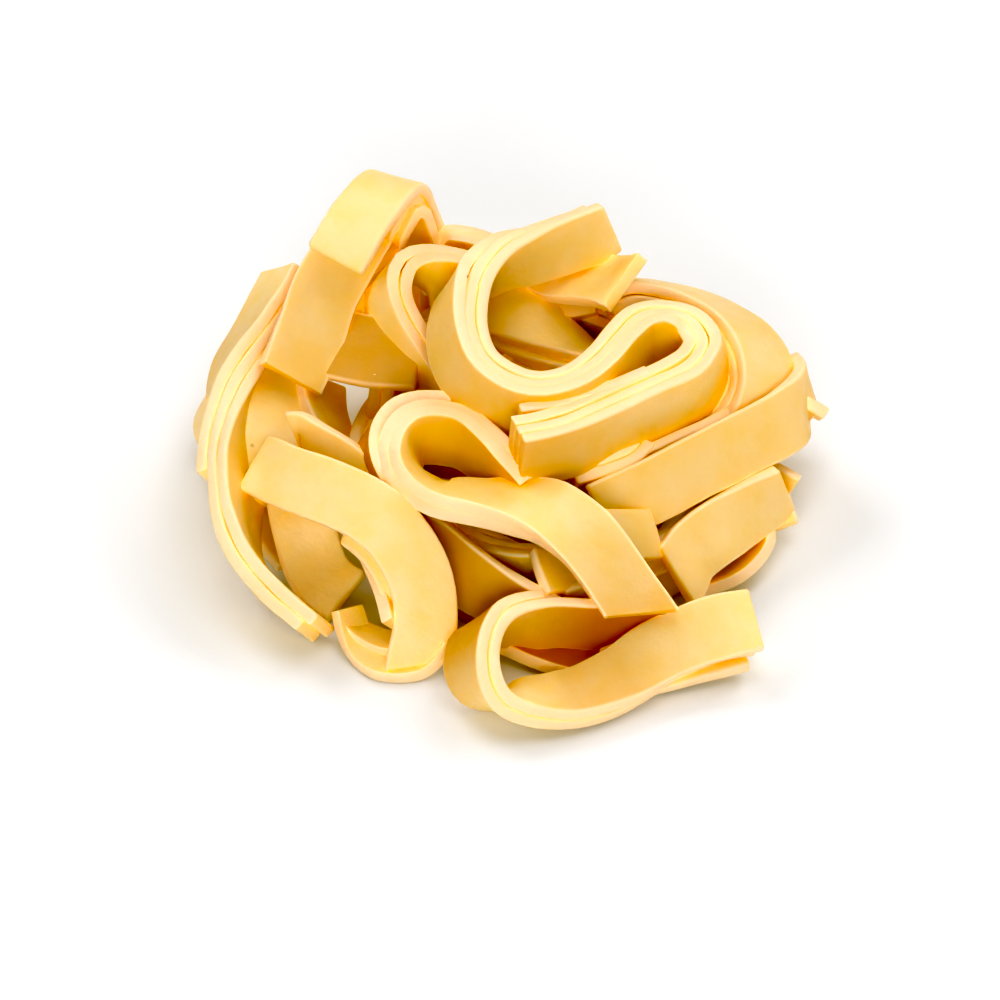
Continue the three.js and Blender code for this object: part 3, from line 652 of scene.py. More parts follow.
# %% Front loop
FRONT_LOOP = {
    "front_loop": {
        "route": [
            [16.8, -10.9, 7, 0, -4.2], [14, -10.4, 7.4, 0, -4.4], [10, -10.2, 7.8, 0, -4.5],
            [4.5, -10.2, 8, -0.2, -4.5], [1.7, -11, 8, -0.8, -3.2], [0.1, -12.7, 8, -2.2, 0.2],
            [-0.6, -15.5, 7.6, -3, -0.8], [-0.3, -17.8, 6.6, -2.4, -0.2],
            [0.9, -19.9, 5.2, -1.3, 1.2], [3.2, -21.1, 4, -0.3, 2.8],
            [7, -21.7, 2.9, 0.2, 3.8], [10.5, -21.1, 2.4, 0.8, 4.2], [14, -19.7, 2.4, 1.4, 5],
            [18, -17.6, 2.9, 2, 5.8], [21.8, -16.2, 3.6, 1.6, 6.2], [26.4, -15, 4.2, 0.8, 6],
        ],
        "layers": [[0, 0, 0, 0], [-1, 12, 0.5, 0.1]],
        "deep": [0.95, 0.95, 0.5, -0.1, -0.1, 0.45, 0.5, 0.15, 0],
    },
    "front_loop_foot": {
        "route": [
            [12, -20.2, 0.9, 1.5, 5], [16.8, -19, 1, 1.8, 5.5], [20.5, -18, 1.3, 1.4, 5],
            [25, -16.8, 1.7, 0.8, 4.5],
        ],
    },
    "front_loop_floor": {
        "route": [
            [-0.8, -14.6, 1.6, 0.4, 3], [3, -16.2, 1.4, 0, 3.6], [6.2, -17.3, 1.3, 0, 3.8],
            [10, -17.8, 1.3, 0, 3.8], [14, -17.2, 1.3, 0, 3.8],
        ],
        "deep": 1,
    },
}
for name, plan in FRONT_LOOP.items():
    lay_bundle(name, plan)

# %% [markdown]
# ## The left loop and tongue
# On the left a broad ribbon arches over and comes down to the table, with its own end tucked
# back beneath it. It turns from lying flat to hanging down, so its other edge swings from above
# to the right. Through the arch shows a tongue of another ribbon, which comes down and lies flat.
# The arch could be a Spin round an axis, but its turn is uneven, and stations follow that.

# %% Left loop and tongue
LEFT_LOOP_AND_TONGUE = {
    "left_loop": {
        "route": [
            [-26, 1, 9, 1.2, 5.2], [-23.6, -0.2, 9.6, 1.4, 6], [-20.4, -1.6, 10.4, 1.4, 6.2],
            [-17.4, -2.7, 10.9, 2, 6.1], [-15, -3.9, 10.8, 3.4, 5.4],
            [-13.2, -5.4, 10, 4.8, 4.2], [-11.9, -7.2, 8.8, 6, 2.2],
            [-10.9, -9.7, 6.8, 6.4, 0.4], [-10.7, -12.5, 4.8, 6.4, 0],
            [-11.1, -14.8, 3, 6.4, 0.2], [-11.4, -16.3, 1.8, 6.4, 0.4],
            [-11.6, -17.2, 1.2, 6.4, 0.5],
        ],
        "layers": [[0, 0, 0, 0], [-1, 13, 5, -0.9]],
        "skew": [-1.3, -2.6],
        "deep": 0.05,
    },
    "left_loop_return": {
        "route": [
            [-16.7, -11.2, 3.8, 5, 1.2], [-15.9, -14.2, 1.7, 5, 2.4],
            [-14.7, -16.2, 0.9, 4.2, 4], [-12.8, -17.5, 0.8, 2.6, 4.3],
            [-10.5, -17.9, 0.7, 1, 4.3], [-8, -17.6, 0.8, -0.8, 4],
            [-6.2, -16.3, 1.7, -2.4, 3.4], [-5.1, -14.5, 3, -3.4, 2.6],
        ],
        "width": 3.2,
    },
    "left_loop_under": {
        "route": [
            [-21.5, 8.7, 13.4, 1.4, -6.3], [-20, 8.7, 13.6, 1, -6.4],
            [-18, 7.7, 13.6, -0.4, -6.4], [-15, 5.9, 13.4, -2, -6.1],
            [-12, 3.3, 12.6, -3.4, -5.5], [-9.6, 0.3, 11, -4.8, -4.4],
            [-7.4, -3.5, 8.6, -6, -2.6], [-6, -7.2, 5.6, -6.2, -0.6],
        ],
        "skew": [2.4, 0],
        "deep": 0.15,
    },
    "left_tongue": {
        "route": [
            [-23.8, 3.2, 8.6, 6.6, -0.4], [-23.4, 0, 7.6, 6.6, 0], [-22.9, -3, 6, 6.6, 1],
            [-22, -6.3, 4, 6, 2], [-20.8, -9, 2.2, 5.2, 3.4], [-19.2, -11, 1, 4.6, 4.2],
            [-17.3, -12.2, 0.7, 4.4, 4.4],
        ],
        "deep": -1,
    },
    "left_loop_return_inner": {
        "route": [
            [-16.3, -12.6, 2.6, 3, 2.4], [-14.6, -14.2, 1.9, 2.8, 3.4],
            [-12.6, -15.2, 1.8, 2, 4], [-10.6, -15.6, 1.8, 1.2, 4.2],
        ],
        "width": 3,
        "deep": 0.2,
    },
    "left_loop_inner_tip": {
        "route": [
            [-13.8, -5.2, 8.4, 2.6, -1], [-12.6, -8, 7, 2.6, 0], [-11.9, -10.2, 6.2, 2.4, 0.6],
            [-11.4, -12.1, 5.6, 2.2, 1],
        ],
        "width": 3.4,
        "deep": 0.3,
    },
    "left_tongue_behind": {
        "route": [
            [-26, 0.4, 7, 4, 1], [-25.3, -2.2, 5, 4.4, 1.4], [-24.1, -4.7, 3.2, 4.6, 2],
            [-22.2, -7, 2, 4.4, 2.4],
        ],
        "deep": 0.1,
    },
}
for name, plan in LEFT_LOOP_AND_TONGUE.items():
    lay_bundle(name, plan)

# %% [markdown]
# ## The folded flap
# High at the back left a ribbon is folded over a ridge: one leg climbs to it and the other drops
# beyond it. An extruded strip with a bevelled corner would have a fold of one even radius. Here
# the stations stand close together at the ridge, which keeps the fold tight without making it
# sharp.

# %% Folded flap
FOLDED_FLAP = {
    "flap_outer": {
        "route": [
            [-19.3, 25.4, 23.4, 5.6, -2.9, -1], [-18, 27.4, 24.5, 5.6, -2.8, -1],
            [-16.7, 29.4, 25.2, 5.6, -2.6, -1], [-15.4, 31, 25.6, 5.6, -2.2, -1],
            [-14.3, 32.1, 25.6, 5.6, -1.9, -1], [-13.4, 32.6, 25, 5.6, -1.7, -1],
            [-12.8, 32.4, 24, 5.6, -1.7, -1], [-12.3, 31.5, 22.3, 5.6, -1.7, -1],
            [-11.4, 29.1, 18.4, 5.6, -1.7, -1], [-10.4, 26, 13.5, 5.6, -1.7, -1],
        ],
        "deep": 0,
    },
    "flap_inner": {
        "route": [
            [-23.9, 13.7, 14.4, 5.5, -2.7], [-22.3, 17.8, 16.2, 5.8, -2.7],
            [-20.6, 22.2, 18.2, 6, -2.6], [-18.3, 26.4, 20.4, 6, -2.6],
            [-16.2, 29.7, 22.2, 6, -2.4, -1], [-15, 31.1, 23.4, 5.8, -2, -1],
            [-14.1, 31.8, 23.5, 5.7, -1.7, -1], [-13.5, 31.5, 22.6, 5.7, -1.7, -1],
            [-13, 30.1, 20.4, 5.7, -1.7, -1], [-12.1, 27.1, 16, 5.7, -1.7, -1],
        ],
        "layers": [[0, 0, 0, 0], [1, 4, 0, 0.9]],
        "width": 7,
        "deep": 0.15,
    },
}
for name, plan in FOLDED_FLAP.items():
    lay_bundle(name, plan)

# %% [markdown]
# ## The left bundle
# Three ribbons run down the left side in step, so little more than their edges shows, like the
# pages of a book. Three routes would drift apart or cross, so one route serves all of them, and
# each layer is moved sideways by one pitch. A short ribbon bulges out beside them.

# %% Left bundle
LEFT_BUNDLE = {
    "left_bundle": {
        "route": [
            [-18.2, 22.1, 15.8, -2.7, 0.8], [-19.4, 19.8, 14.8, -2.6, 0.8],
            [-21.6, 16.4, 13.4, -1.8, 0.6], [-24.3, 13, 13, -0.4, 0.2],
            [-26.5, 9.5, 12.6, 2.2, -0.4], [-27.8, 6, 12, 3.4, -1.4],
            [-27.9, 2, 11.2, 3.4, -1.6], [-27.4, -1, 10.2, 2.4, -1.2],
            [-26, -4.4, 9, 0.6, -0.6], [-24.4, -6.6, 8.3, 0, -0.4],
            [-22.4, -8.8, 7.4, 0, -0.2], [-20.5, -10.5, 6.7, 0, -0.2],
            [-18.7, -12.1, 6.1, 0, 0],
        ],
        "layers": [[0, 0, 0, 0], [-1, 0, 0.8, 0.1], [-2, 0, 21, 0.2]],
        "deep": [0, 0.15, 0.35, 0.35, 0.2, 0.05, 0],
    },
    "left_bundle_bulge": {
        "route": [
            [-26.2, 14.5, 10.6, -0.4, -0.6], [-27.4, 12.4, 10.2, -0.8, -0.2],
            [-28.5, 10, 9.8, -0.8, 0], [-28.8, 7, 9.2, -0.4, 0.2],
        ],
    },
}
for name, plan in LEFT_BUNDLE.items():
    lay_bundle(name, plan)

# %% [markdown]
# ## The top bundle
# The crown of the nest is a bundle of three layers that swings round in an S, its faces hanging
# down inside. One grid with grooves would be lighter, but it would look like one thick band at
# its ends. Three layers all but touch, and the fine shadow between them comes from their rounded
# edges.

# %% Top bundle
TOP_BUNDLE = {
    "top_bundle": {
        "route": [
            [10, 29.6, 24.6, 1.4, -4.4], [8, 28.9, 24.8, 0.8, -5.5],
            [5.6, 27.9, 24.8, 0.4, -5.4], [3.3, 26.7, 24.6, 0, -5],
            [1, 25.3, 24.2, -0.6, -4.4], [-0.7, 23.3, 23.4, -1.4, -4],
            [-1.6, 20.8, 22.4, -2.6, -3.2], [-1.6, 17, 21.2, -3, -2.6],
            [-0.3, 14.4, 20.6, -2.2, -4], [2.9, 12.7, 20, -0.8, -4.8], [6, 13, 19.8, 0.2, -5],
            [8.9, 14.8, 19.8, 0.8, -5], [11.1, 17.3, 19.8, 0.4, -5], [13.4, 19.3, 19.6, 0, -5],
            [16.4, 19.8, 19.4, 0, -5.2], [19.6, 18.9, 19, 0.6, -4.8],
            [21.4, 16.6, 18.6, 1.2, -4.2], [20.7, 14.2, 18.6, 0.6, -4.6],
            [19, 12.7, 18.6, 0, -4.8], [16, 11.3, 18.6, -0.4, -5], [12, 9.5, 18.6, -0.6, -5],
            [8, 7.8, 18.8, -0.6, -5.2], [5, 6.8, 19, -0.6, -5], [2.2, 6.2, 19.2, -0.4, -4.8],
        ],
        "layers": [[0, 0, 0, 0], [-1, 0.6, 0, 0.1, 0.5], [-2, 1.2, 0, -0.1, 2.2]],
        "skew": [-2.6, 0],
        "deep": [0.1, 0.15, 0.35, 0.35, 0.1, 0.05, 0.2, 0.5],
    },
    "top_bundle_filler": {
        "route": [
            [14.8, 13.1, 18.8, -0.2, -4], [12, 11.9, 18.8, -0.4, -4.4],
            [9, 10.9, 18.8, -0.4, -4.6], [5.5, 9.9, 19, -0.4, -4.6],
            [1.9, 9.4, 19.2, -0.4, -4.6],
        ],
        "deep": 0.2,
    },
}
for name, plan in TOP_BUNDLE.items():
    lay_bundle(name, plan)

# %% [markdown]
# ## The curl and back arc
# Left of the crown two layers make a small curl, and a short arc of two more lies behind it. A
# spiral from a formula would be too regular for the curl, so it is laid by stations like the
# rest.

# %% Curl and back arc
CURL_AND_BACK_ARC = {
    "top_curl": {
        "route": [
            [-1.6, 23.2, 19.6, 0.3, -5], [-3.6, 23.9, 20.4, 0.1, -5.2],
            [-5.5, 24.3, 21, -0.1, -5.2], [-7.5, 24.2, 21, -0.6, -4.4],
            [-8.8, 23.5, 20.5, -1.6, -3.8], [-9.4, 21.5, 19.2, -2.4, -3.4],
            [-9, 19.6, 17.8, -3, -3], [-7.2, 16.3, 15.6, -2.2, -3.8],
            [-5.4, 13.7, 13.6, -1.2, -4.4], [-3.8, 11.2, 12, -0.6, -4.8],
        ],
        "layers": [[0, 0, 0, 0], [-1.1, 0, 0, 0.1]],
        "deep": -0.1,
    },
    "back_arc": {
        "route": [
            [0, 26, 19, 0, -4.5], [-3, 27, 19, 0, -4.5], [-5.4, 27.2, 18.6, -0.4, -4.5],
            [-7, 26.4, 18, -0.8, -4.5],
        ],
        "layers": [[0, 0, 0, 0], [1, 0, 0, -0.1]],
        "deep": 0.2,
    },
}
for name, plan in CURL_AND_BACK_ARC.items():
    lay_bundle(name, plan)

# %% [markdown]
# ## The right bundle
# On the right a bundle bends round the end of the crown and goes down into the nest. A ribbon
# below it makes the round shoulder of the outline. A bent Array would give four equal layers,
# but here the fourth starts 20 mm later than the rest, so each layer keeps its own trims.

# %% Right bundle
RIGHT_BUNDLE = {
    "right_bundle": {
        "route": [
            [10.6, 20.2, 17.5, 0.2, 0.8], [13, 21.1, 18, 0.3, 0.6], [15.5, 20.9, 18, 0.5, 0.6],
            [18.4, 20, 18, 1, 1], [21, 18.5, 17.6, 2, 1.3], [22.7, 16.7, 17, 3.2, 1.8],
            [23.8, 14.2, 16, 4.8, 1], [24, 11.8, 15, 5.2, -1.4], [23.4, 9.8, 13.8, 4.2, -3],
            [22, 7.6, 12.4, 3, -3.4], [19.6, 5.5, 11, 2.2, -3.2], [17.6, 4, 10.2, 2, -3.2],
        ],
        "layers": [[0, 0, 0, 0], [-1, 0, 2, -0.1], [-2, 0, 2, 0.1], [-3, 20, 2, 0]],
        "deep": 0.1,
    },
    "right_bundle_lower": {
        "route": [
            [10, 19.4, 14.6, 0.2, 0.8], [13.5, 20, 15.4, 0.3, 0.6],
            [16.8, 20.1, 15.6, 0.5, 0.8], [20.6, 19.2, 15.6, 1.4, 0.8], [23.4, 18, 15, 2.2, 0],
            [25.6, 16.3, 14.2, 2.4, -1.8], [27, 14.4, 13, 2, -3.8],
        ],
        "deep": 0.15,
    },
}
for name, plan in RIGHT_BUNDLE.items():
    lay_bundle(name, plan)

# %% [markdown]
# ## The right bands
# Two broad bands slope down across the right side, each with its face to the front. The upper
# one turns sharply round at its right end. Cut tips of other ribbons stick out beside them. The
# tips are short routes of three stations, since a whole ribbon behind each would never be seen.

# %% Right bands
RIGHT_BANDS = {
    "right_band": {
        "route": [
            [8.5, 1.4, 12.2, 3, -5.7], [15, 4.4, 13.2, 3, -5.7], [20.8, 7.4, 13.8, 3, -5.7],
            [24.8, 9.5, 14.2, 3, -5.7], [27.4, 11, 14.4, 2.6, -5.8],
            [29.3, 12.4, 14.5, 1.2, -5.4], [29.9, 13.6, 14.2, 0.8, -4.8],
            [29.1, 14.6, 13.2, 1.2, -4],
        ],
        "deep": 0.25,
    },
    "right_band_inner": {
        "route": [
            [14, 4.9, 12.6, 1, -4], [20, 7.6, 13, 1, -4], [24.5, 10, 13.4, 1, -4],
        ],
        "deep": 0.4,
    },
    "right_band_second": {
        "route": [
            [27.6, 3.2, 9.6, 1.6, -4.4], [24.2, 1.6, 9.4, 2.2, -5.4],
            [20.2, -0.5, 9, 3.2, -5.6], [17.4, -2.6, 8.3, 4.2, -4.8],
            [15.7, -4.9, 7.4, 5.2, -3.8],
        ],
        "layers": [[0, 0, 0, 0], [-1, 0, 2, 0.2]],
        "skew": [-1.4, 2.8],
        "deep": 0.15,
    },
    "right_band_curl": {
        "route": [
            [19.2, -5.3, 5.4, 2, -3], [16.4, -6.6, 5, 2.4, -3], [14, -7.8, 4.8, 2.4, -3],
        ],
        "width": 4.5,
        "deep": 0.5,
    },
    "right_band_base": {
        "route": [
            [27.2, -2.8, 3.7, -3.5, 0], [27.1, -4.2, 3.4, -3, 1], [26.2, -5.8, 3, -2.2, 1.8],
            [24.8, -7.3, 2.6, -1.4, 2.1], [22.8, -8.4, 2.3, -0.8, 2.2],
            [19.8, -9.4, 2, -0.4, 2.3],
        ],
        "width": 3.5,
        "deep": 0.3,
    },
    "right_tip_high": {
        "route": [
            [28, 10.8, 11.8, 0, -0.6], [30.6, 9.7, 11, 0, -0.4], [32.6, 8.5, 10.1, 0, -0.2],
        ],
    },
    "right_tip_mid": {
        "route": [
            [25.2, 5, 8.2, -3, -5], [27.8, 3.5, 7.2, -3, -5], [30.1, 2.2, 6.4, -3, -5],
        ],
        "skew": [0, -0.8],
    },
    "right_tip_low": {
        "route": [
            [27.6, 3.4, 6.2, -6, -2.2], [28.8, 0.6, 4.6, -6, -2.2], [29.8, -2.3, 3, -6, -2.2],
        ],
    },
    "right_crescent": {
        "route": [
            [7.5, 2.2, 12.4, 0.4, -2], [11, 3.2, 12.6, 0.6, -2.2],
            [13.6, 4.4, 12.8, 0.8, -2.2], [15, 6, 13, 0.8, -2.4],
        ],
        "layers": [[0, 0, 0, 0], [1, 0, 0, 0]],
        "deep": 0.4,
    },
}
for name, plan in RIGHT_BANDS.items():
    lay_bundle(name, plan)

# %% [markdown]
# ## The middle ribbon
# The ribbon that leads the eye starts in a round loop, twists over and ends in a slanted cut
# above the front loop. Twisting a straight strip with a Simple Deform modifier would turn it
# evenly along its length, but this one turns unevenly, as its stations say. A ribbon painted
# darker, as shade, follows its loop, and two stubs lie close by.

# %% Middle ribbon
MIDDLE_RIBBON = {
    "middle_ribbon": {
        "route": [
            [2.4, 1.8, 14.2, 1, -4.2], [0.5, 4, 15.2, 0.6, -4.6], [-1.6, 6.4, 16, 0.2, -5],
            [-4.5, 8.6, 16.4, 0, -5.2], [-8, 8.8, 16.6, 0.6, -4.8],
            [-10, 7.2, 16.2, 2.6, -2.4], [-10.7, 4.5, 15.6, 3.2, -0.6],
            [-9.6, 2.2, 15, 2.4, 0.4], [-6.8, 0.2, 14.5, 1.8, 1.4], [-3, -0.8, 14, 1.2, 2.4],
            [0.5, -2, 13.4, 1.4, 4], [3.5, -3.6, 12.6, 2.2, 5.4], [6.2, -6, 11, 3.4, 5.4],
            [8.2, -8.5, 9.6, 4.6, 4.4], [9.4, -10.3, 8.5, 5.6, 3.2],
            [10.4, -11.8, 7.6, 6.5, 0.6],
        ],
        "layers": [[0, 0, 0, 0], [-1, 0, 2, 0.15]],
        "skew": [0, 3.4],
        "deep": [0.7, 0.3, 0.1, 0.05, 0.05, 0.45],
    },
    "middle_ribbon_outer": {
        "route": [
            [-5, 10.4, 16, 0, -4], [-8.2, 10.4, 16, -0.2, -3.8],
            [-10.7, 9.5, 15.8, -0.8, -2.8], [-12.1, 7.8, 15.4, -1.4, -1.6],
            [-12.6, 5.5, 15, -1.6, -0.4], [-11.8, 3, 14.2, -1.2, -1],
            [-10.4, 1, 13, -0.8, -1.2],
        ],
        "deep": 0.9,
    },
    "middle_stub": {
        "route": [
            [9.9, -1.1, 12.2, 4.2, 1.4], [10.7, -3.5, 11, 4.6, 0.8], [11.4, -6.2, 9.4, 4.6, 0],
        ],
        "deep": 0.2,
    },
    "middle_stub_low": {
        "route": [
            [3, -5, 9, 5.4, -0.4], [3.8, -7.7, 8.2, 5.4, -0.6], [4.6, -9.6, 7.4, 5.4, -0.6],
        ],
        "deep": 0.2,
    },
}
for name, plan in MIDDLE_RIBBON.items():
    lay_bundle(name, plan)

# %% [markdown]
# ## The well and eye
# Between the big loops one looks down on ribbons that lie deeper. A dark hollow would be less
# work, but the light gets far in. They are laid like the others, only lower, and their colour is
# painted orange for the light that reaches them through the dough, or painted brown as shade
# where their "deep" says so.

# %% Well and eye
WELL_AND_EYE = {
    "well_twist": {
        "route": [
            [2.6, 21, 15.4, 0, 5.8], [4.8, 20.1, 16, 0.6, 5.2], [7.2, 19.9, 16.8, 0.8, 4.6],
            [9, 19.6, 17.4, 0.8, 4.6], [10.7, 19, 18, 1.8, 5.6],
        ],
        "deep": -1,
    },
    "well_broad": {
        "route": [
            [-2.2, 16.8, 13, 1.4, 6.2], [0.5, 16, 13.2, 2.4, 5.4], [3.5, 15.1, 13.6, 3, 3.2],
            [6.2, 14.4, 14, 2, 1.8], [9.2, 13.7, 14.2, 0.8, 0.8],
        ],
        "layers": [[0, 0, 0, 0], [-1, 0, 0, -0.9], [-2, 0, 0, -1.4]],
        "deep": -0.5,
    },
    "well_lip": {
        "route": [
            [4.5, 19.6, 13.8, 0.4, -1.2], [6.8, 19, 14.2, 0.2, -1.2],
            [9.4, 19.4, 14.8, 0, -1.2],
        ],
        "deep": -0.2,
    },
    "eye_wall": {
        "route": [
            [-10.4, 6.4, 7.5, 0, -4.4, -1], [-6, 6, 7.5, 0, -4.4, -1],
            [-0.8, 5.4, 7.5, 0, -4.4, -1],
        ],
        "deep": 1,
    },
    "shaded_shelf": {
        "route": [
            [-18.2, 12.3, 11.6, 0.2, 6], [-14, 11.4, 11.8, 0.2, 6], [-8.6, 10.9, 12, 0.2, 6],
        ],
        "width": 7.6,
        "deep": 0.6,
    },
    "shaded_wall": {
        "route": [
            [-23.2, 15.5, 11.8, 6, -2.4], [-25, 12, 11, 6.2, -1.8], [-26.2, 8, 10.2, 6.2, -1],
            [-26.6, 4, 9.2, 6, -0.6], [-26.2, 0.2, 8.2, 5.2, -0.4],
        ],
        "deep": 0.05,
    },
    "shaded_step": {
        "route": [
            [-20.2, 12.8, 11.4, 4.2, -0.8], [-19.8, 10, 10.2, 3.8, -0.4],
            [-18.6, 6.8, 9, 3, 0],
        ],
        "deep": 0.15,
    },
    "shaded_back": {
        "route": [
            [-20.4, 17.8, 9, 0.4, 6], [-15, 17, 9.2, 0.4, 6], [-8, 16.4, 9.4, 0.4, 6],
        ],
        "deep": 0.4,
    },
}
for name, plan in WELL_AND_EYE.items():
    lay_bundle(name, plan)

# %% [markdown]
# ## The laps in the gap
# In the gap between the left loop and the front loop the flanks of lower ribbons show. They lie
# in deep shade, so single layers are enough, without the ones that would lie behind.

# %% Laps in the gap
LAPS_IN_THE_GAP = {
    "lap_front": {
        "route": [
            [-7.2, -1.2, 10, -1, -6], [-5, -2.5, 9.6, -1.6, -6], [-1, -5.8, 8.8, -2.2, -5.6],
            [2.5, -8.2, 8, -1.6, -4], [6, -10.2, 7, -1, -3],
        ],
        "deep": 0.6,
    },
    "lap_back": {
        "route": [
            [-5.5, -2.2, 7.4, 2, -6], [-1, -3.2, 7.2, 2.2, -6], [4, -6, 6.8, 2.2, -6],
        ],
        "deep": 0.85,
    },
    "lap_base": {
        "route": [
            [-6, -6.2, 5.9, 1, -5], [-2, -8.2, 5.9, 0, -5], [2, -9.8, 5.9, -0.6, -5],
        ],
        "deep": 0.8,
    },
}
for name, plan in LAPS_IN_THE_GAP.items():
    lay_bundle(name, plan)

# %% [markdown]
# ## Windings that hold the nest up
# Under the ribbons that show, the nest is wound round and round, as the dough falls into its
# tray. These rings stand on their edge and carry the rest. Routes of stations would do for them
# too, but nothing in view says how they run, so they follow wavy circles: a middle, two radii,
# the angles they run between, the height of the upper edge, a wave, given by its share of the
# radius and by where it starts, and the layers.

# %% Hidden windings
RING_LEAN = 0.12
RING_ANGLE_STEP = 28
RING_WAVES = 3
RING_ROW_STEP = 1.3
RING_LAYER_STEP = 0.15
# The hidden windings take a share of painted brown shade.
RING_TONE = 0.3
RINGS = {
    "outer_winding": {"at": (3, 9), "radii": (18, 19), "angles": (-80, 215), "top": 7.1,
                      "wave": (0.03, 0.4), "layers": (0, 1)},
    "back_winding": {"at": (3, 11), "radii": (16.5, 17.5), "angles": (20, 165), "top": 13,
                     "wave": (0.04, 1.4), "layers": (0, 1)},
    "high_winding": {"at": (3, 12), "radii": (19, 19), "angles": (30, 125), "top": 13.8,
                     "wave": (0.03, 2.2), "layers": (0,)},
    "inner_winding": {"at": (3, 6), "radii": (12, 11), "angles": (-200, 60), "top": 8,
                      "wave": (0.06, 0.2), "layers": (0, 1)},
    "heart_winding": {"at": (3, 12), "radii": (8, 8), "angles": (-100, 200), "top": 11.5,
                      "wave": (0.08, 2.9), "layers": (0,)},
    "low_heart_winding": {"at": (3, 10), "radii": (8.6, 6.4), "angles": (-190, 150), "top": 6.6,
                          "wave": (0.06, 1.1), "layers": (0, 1)},
    "pith_winding": {"at": (3.5, 10), "radii": (4.2, 3.6), "angles": (-150, 170), "top": 7.2,
                     "wave": (0.05, 0.3), "layers": (0,)},
}


def lay_ring(name, ring):
    """One wavy arc of ribbon on its edge, its upper edge at the given height."""
    first, last = ring["angles"]
    steps = round((last - first) / RING_ANGLE_STEP)
    points, widths = [], []
    for turn in np.radians(np.linspace(first, last, steps + 1)):
        wave = 1 + ring["wave"][0] * math.sin(RING_WAVES * turn + ring["wave"][1])
        out = np.array([math.cos(turn), math.sin(turn), 0])
        centre = np.array([*ring["at"], ring["top"]])
        points.append(centre + out * np.array([*ring["radii"], 0]) * wave)
        down = out * math.sin(RING_LEAN) - np.array([0, 0, math.cos(RING_LEAN)])
        widths.append(down * RIBBON_WIDTH)
    rows = rows_along(points, widths, RING_ROW_STEP)
    for pitch in ring["layers"]:
        layer = {key: value.copy() for key, value in rows.items()}
        step = layer["across"] * RING_LAYER_STEP * pitch
        layer["place"] += layer["face"] * pitch * LAYER_PITCH + step
        lay_ribbon(f"{name}_{pitch}", layer, deep=RING_TONE)


for name, ring in RINGS.items():
    lay_ring(name, ring)
print("ribbons in all:", len(ribbons))

# %% [markdown]
# ## One nest
# The ribbons are joined into one mesh that stands for the solid nest. A Boolean union would also
# take away what lies inside, but it is slow and can fail on so many thin crossing shapes, so
# they are joined as they are. What would reach through the table is cut off flat, as the weight
# of the nest presses its lowest ribbons against it.

# %% Join and cut
CUT_THRESHOLD = 1e-6
MERGE_DISTANCE = 2e-6

bpy.ops.object.select_all(action="DESELECT")
for ribbon in ribbons:
    ribbon.select_set(True)
bpy.context.view_layer.objects.active = ribbons[0]
bpy.ops.object.join()
nest = bpy.context.object
nest.name = "nest_ribbons"
bpy.ops.object.mode_set(mode="EDIT")
bpy.ops.mesh.select_all(action="SELECT")
bpy.ops.mesh.bisect(
    plane_co=(0, 0, 0),
    plane_no=(0, 0, 1),
    clear_inner=True,
    use_fill=True,
    threshold=CUT_THRESHOLD,
)
bpy.ops.mesh.select_all(action="SELECT")
bpy.ops.mesh.remove_doubles(threshold=MERGE_DISTANCE)
bpy.ops.object.mode_set(mode="OBJECT")
bpy.ops.object.transform_apply(location=True, rotation=True, scale=True)
print("nest:", sum(len(p.vertices) - 2 for p in nest.data.polygons), "triangles")

# %% [markdown]
# ## Into the solid's box
# Rounding and drift took the ribbons a tenth of a millimetre out of the box of the solid nest.
# The mesh is scaled down by that much where it is too wide, and set in the middle of the box.
# Then it takes its finish, and the frame is told what it stands for.

# %% Fit and replace
laid = gather(nest.data.vertices, "co")
solid_low, solid_high = (np.array(corner) for corner in cad_box)
laid_low, laid_high = laid.min(0), laid.max(0)
fit = np.minimum((solid_high - solid_low) / (laid_high - laid_low), 1)
laid = (laid - (laid_low + laid_high) / 2) * fit + (solid_low + solid_high) / 2
nest.data.vertices.foreach_set("co", laid.ravel())
nest.data.materials.clear()
nest.data.materials.append(dry_dough)
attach(nest, "root")
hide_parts("pasta_nest")
print("scaled by", fit.round(4), "to stay in the box of the solid")

# %% [markdown]
# ## Painted shade in hidden places
# Between the ribbons the light has passed through dough or bounced off it several times, which
# turns it golden and then orange. That shade is painted into the colour. Painting it by hand
# would take long. Here the area of dough is counted in small cells, and the counts are blurred
# over a few millimetres.

# %% Area of dough in each cell
CELL = 0.8
REACH = 3.0
MARGIN = 3 * REACH

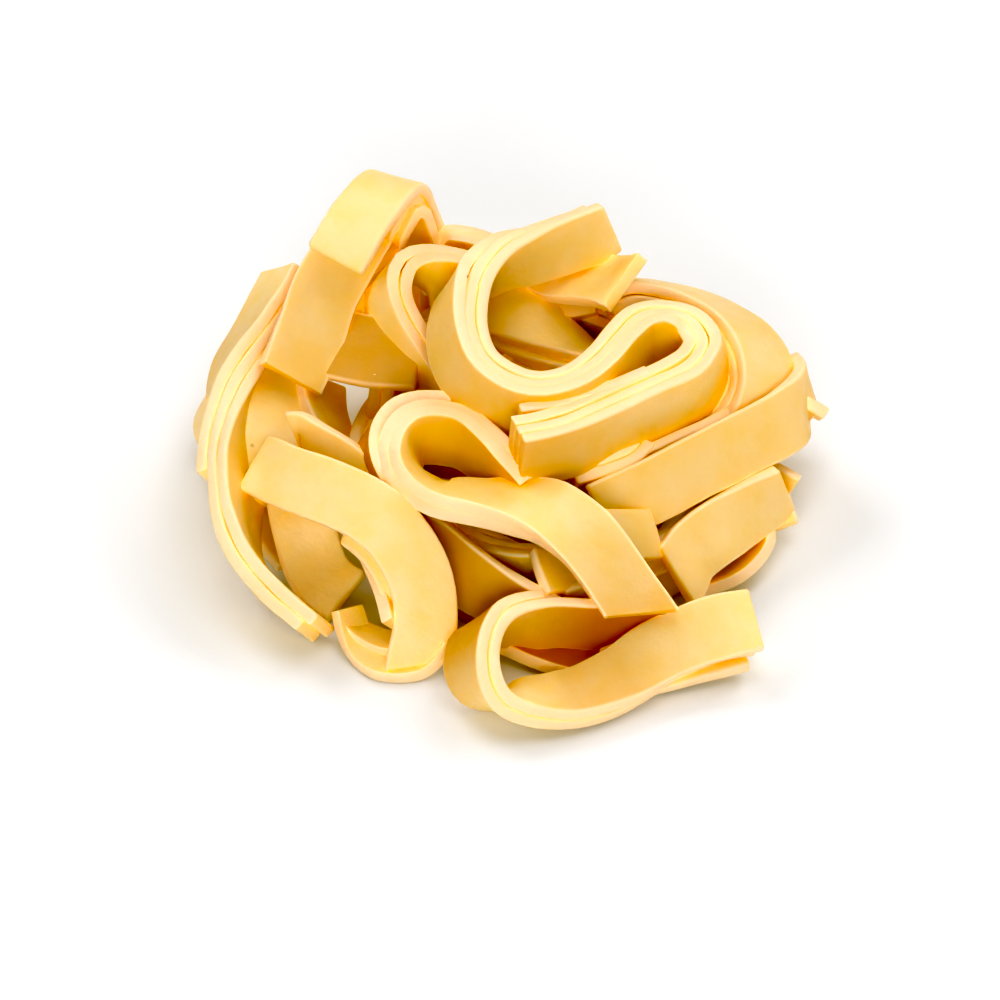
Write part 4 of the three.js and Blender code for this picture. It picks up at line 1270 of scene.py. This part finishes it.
centres = gather(nest.data.polygons, "center") / MM
areas = gather(nest.data.polygons, "area", 1)[:, 0] / MM**2
places = gather(nest.data.vertices, "co") / MM
grid_low = places.min(0) - MARGIN
counts = np.ceil((places.max(0) + MARGIN - grid_low) / CELL).astype(int)
span = [(start, start + count * CELL) for start, count in zip(grid_low, counts)]
crowd = np.histogramdd(centres, bins=counts, range=span, weights=areas)[0]
blur_cells = round(MARGIN / CELL)
steps = np.arange(-blur_cells, blur_cells + 1) * CELL
blur = np.exp(-0.5 * (steps / REACH) ** 2)
blur /= blur.sum()
for axis in range(3):
    crowd = np.apply_along_axis(np.convolve, axis, crowd, blur, mode="same")
print("cells each way:", counts.tolist())

# %% [markdown]
# ## What each point sees
# A face looks outwards, so every point looks up how crowded it is a little way out along its own
# normal, and that becomes its share of painted orange shade. Ambient occlusion in the finish would
# find the same places, but it is traced anew in every render, and a share on the mesh is not. A
# "deep" above zero has already painted its ribbon brown as shade. One below zero does not brown it,
# and takes away from the painted shade instead, so that a ribbon which catches more light than its
# place would tell is painted lighter.

# %% Crowding into painted shade
LOOK_OUT = 3.6
CROWDED = (0.30, 0.80)

normals = gather(nest.data.vertices, "normal")
cells = ((places + normals * LOOK_OUT - grid_low) / CELL).astype(int)
crowding = crowd[tuple(cells.T)] / CELL**3
ribbon_tone = gather(nest.data.attributes["painted_brown_share"].data, "value", 1)[:, 0]
# The share of painted orange shade. A negative "deep" lowers it, which paints the ribbon lighter.
share = (crowding - CROWDED[0]) / (CROWDED[1] - CROWDED[0]) + np.minimum(ribbon_tone, 0)
painted_orange_share = nest.data.attributes.new("painted_orange_share", "FLOAT", "POINT")
painted_orange_share.data.foreach_set("value", np.clip(share, 0, 1))
print("crowding, tenths of the points:", np.quantile(crowding, np.arange(0.1, 1, 0.1)).round(2))

# %% [markdown]
# ## Measure and finish
# The ribbons must stay in the box of the solid nest. Both boxes are written down, so that they
# can be compared.

# %% Boxes
looks_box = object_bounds()
print("ribbon nest, mm:", [round(1000 * (b - a), 1) for a, b in zip(*looks_box)])
for side, solid_corner, ribbon_corner in zip(("low", "high"), cad_box, looks_box):
    print(side, "corner differs by, mm:", [round(1000 * x, 2) for x in ribbon_corner - solid_corner])
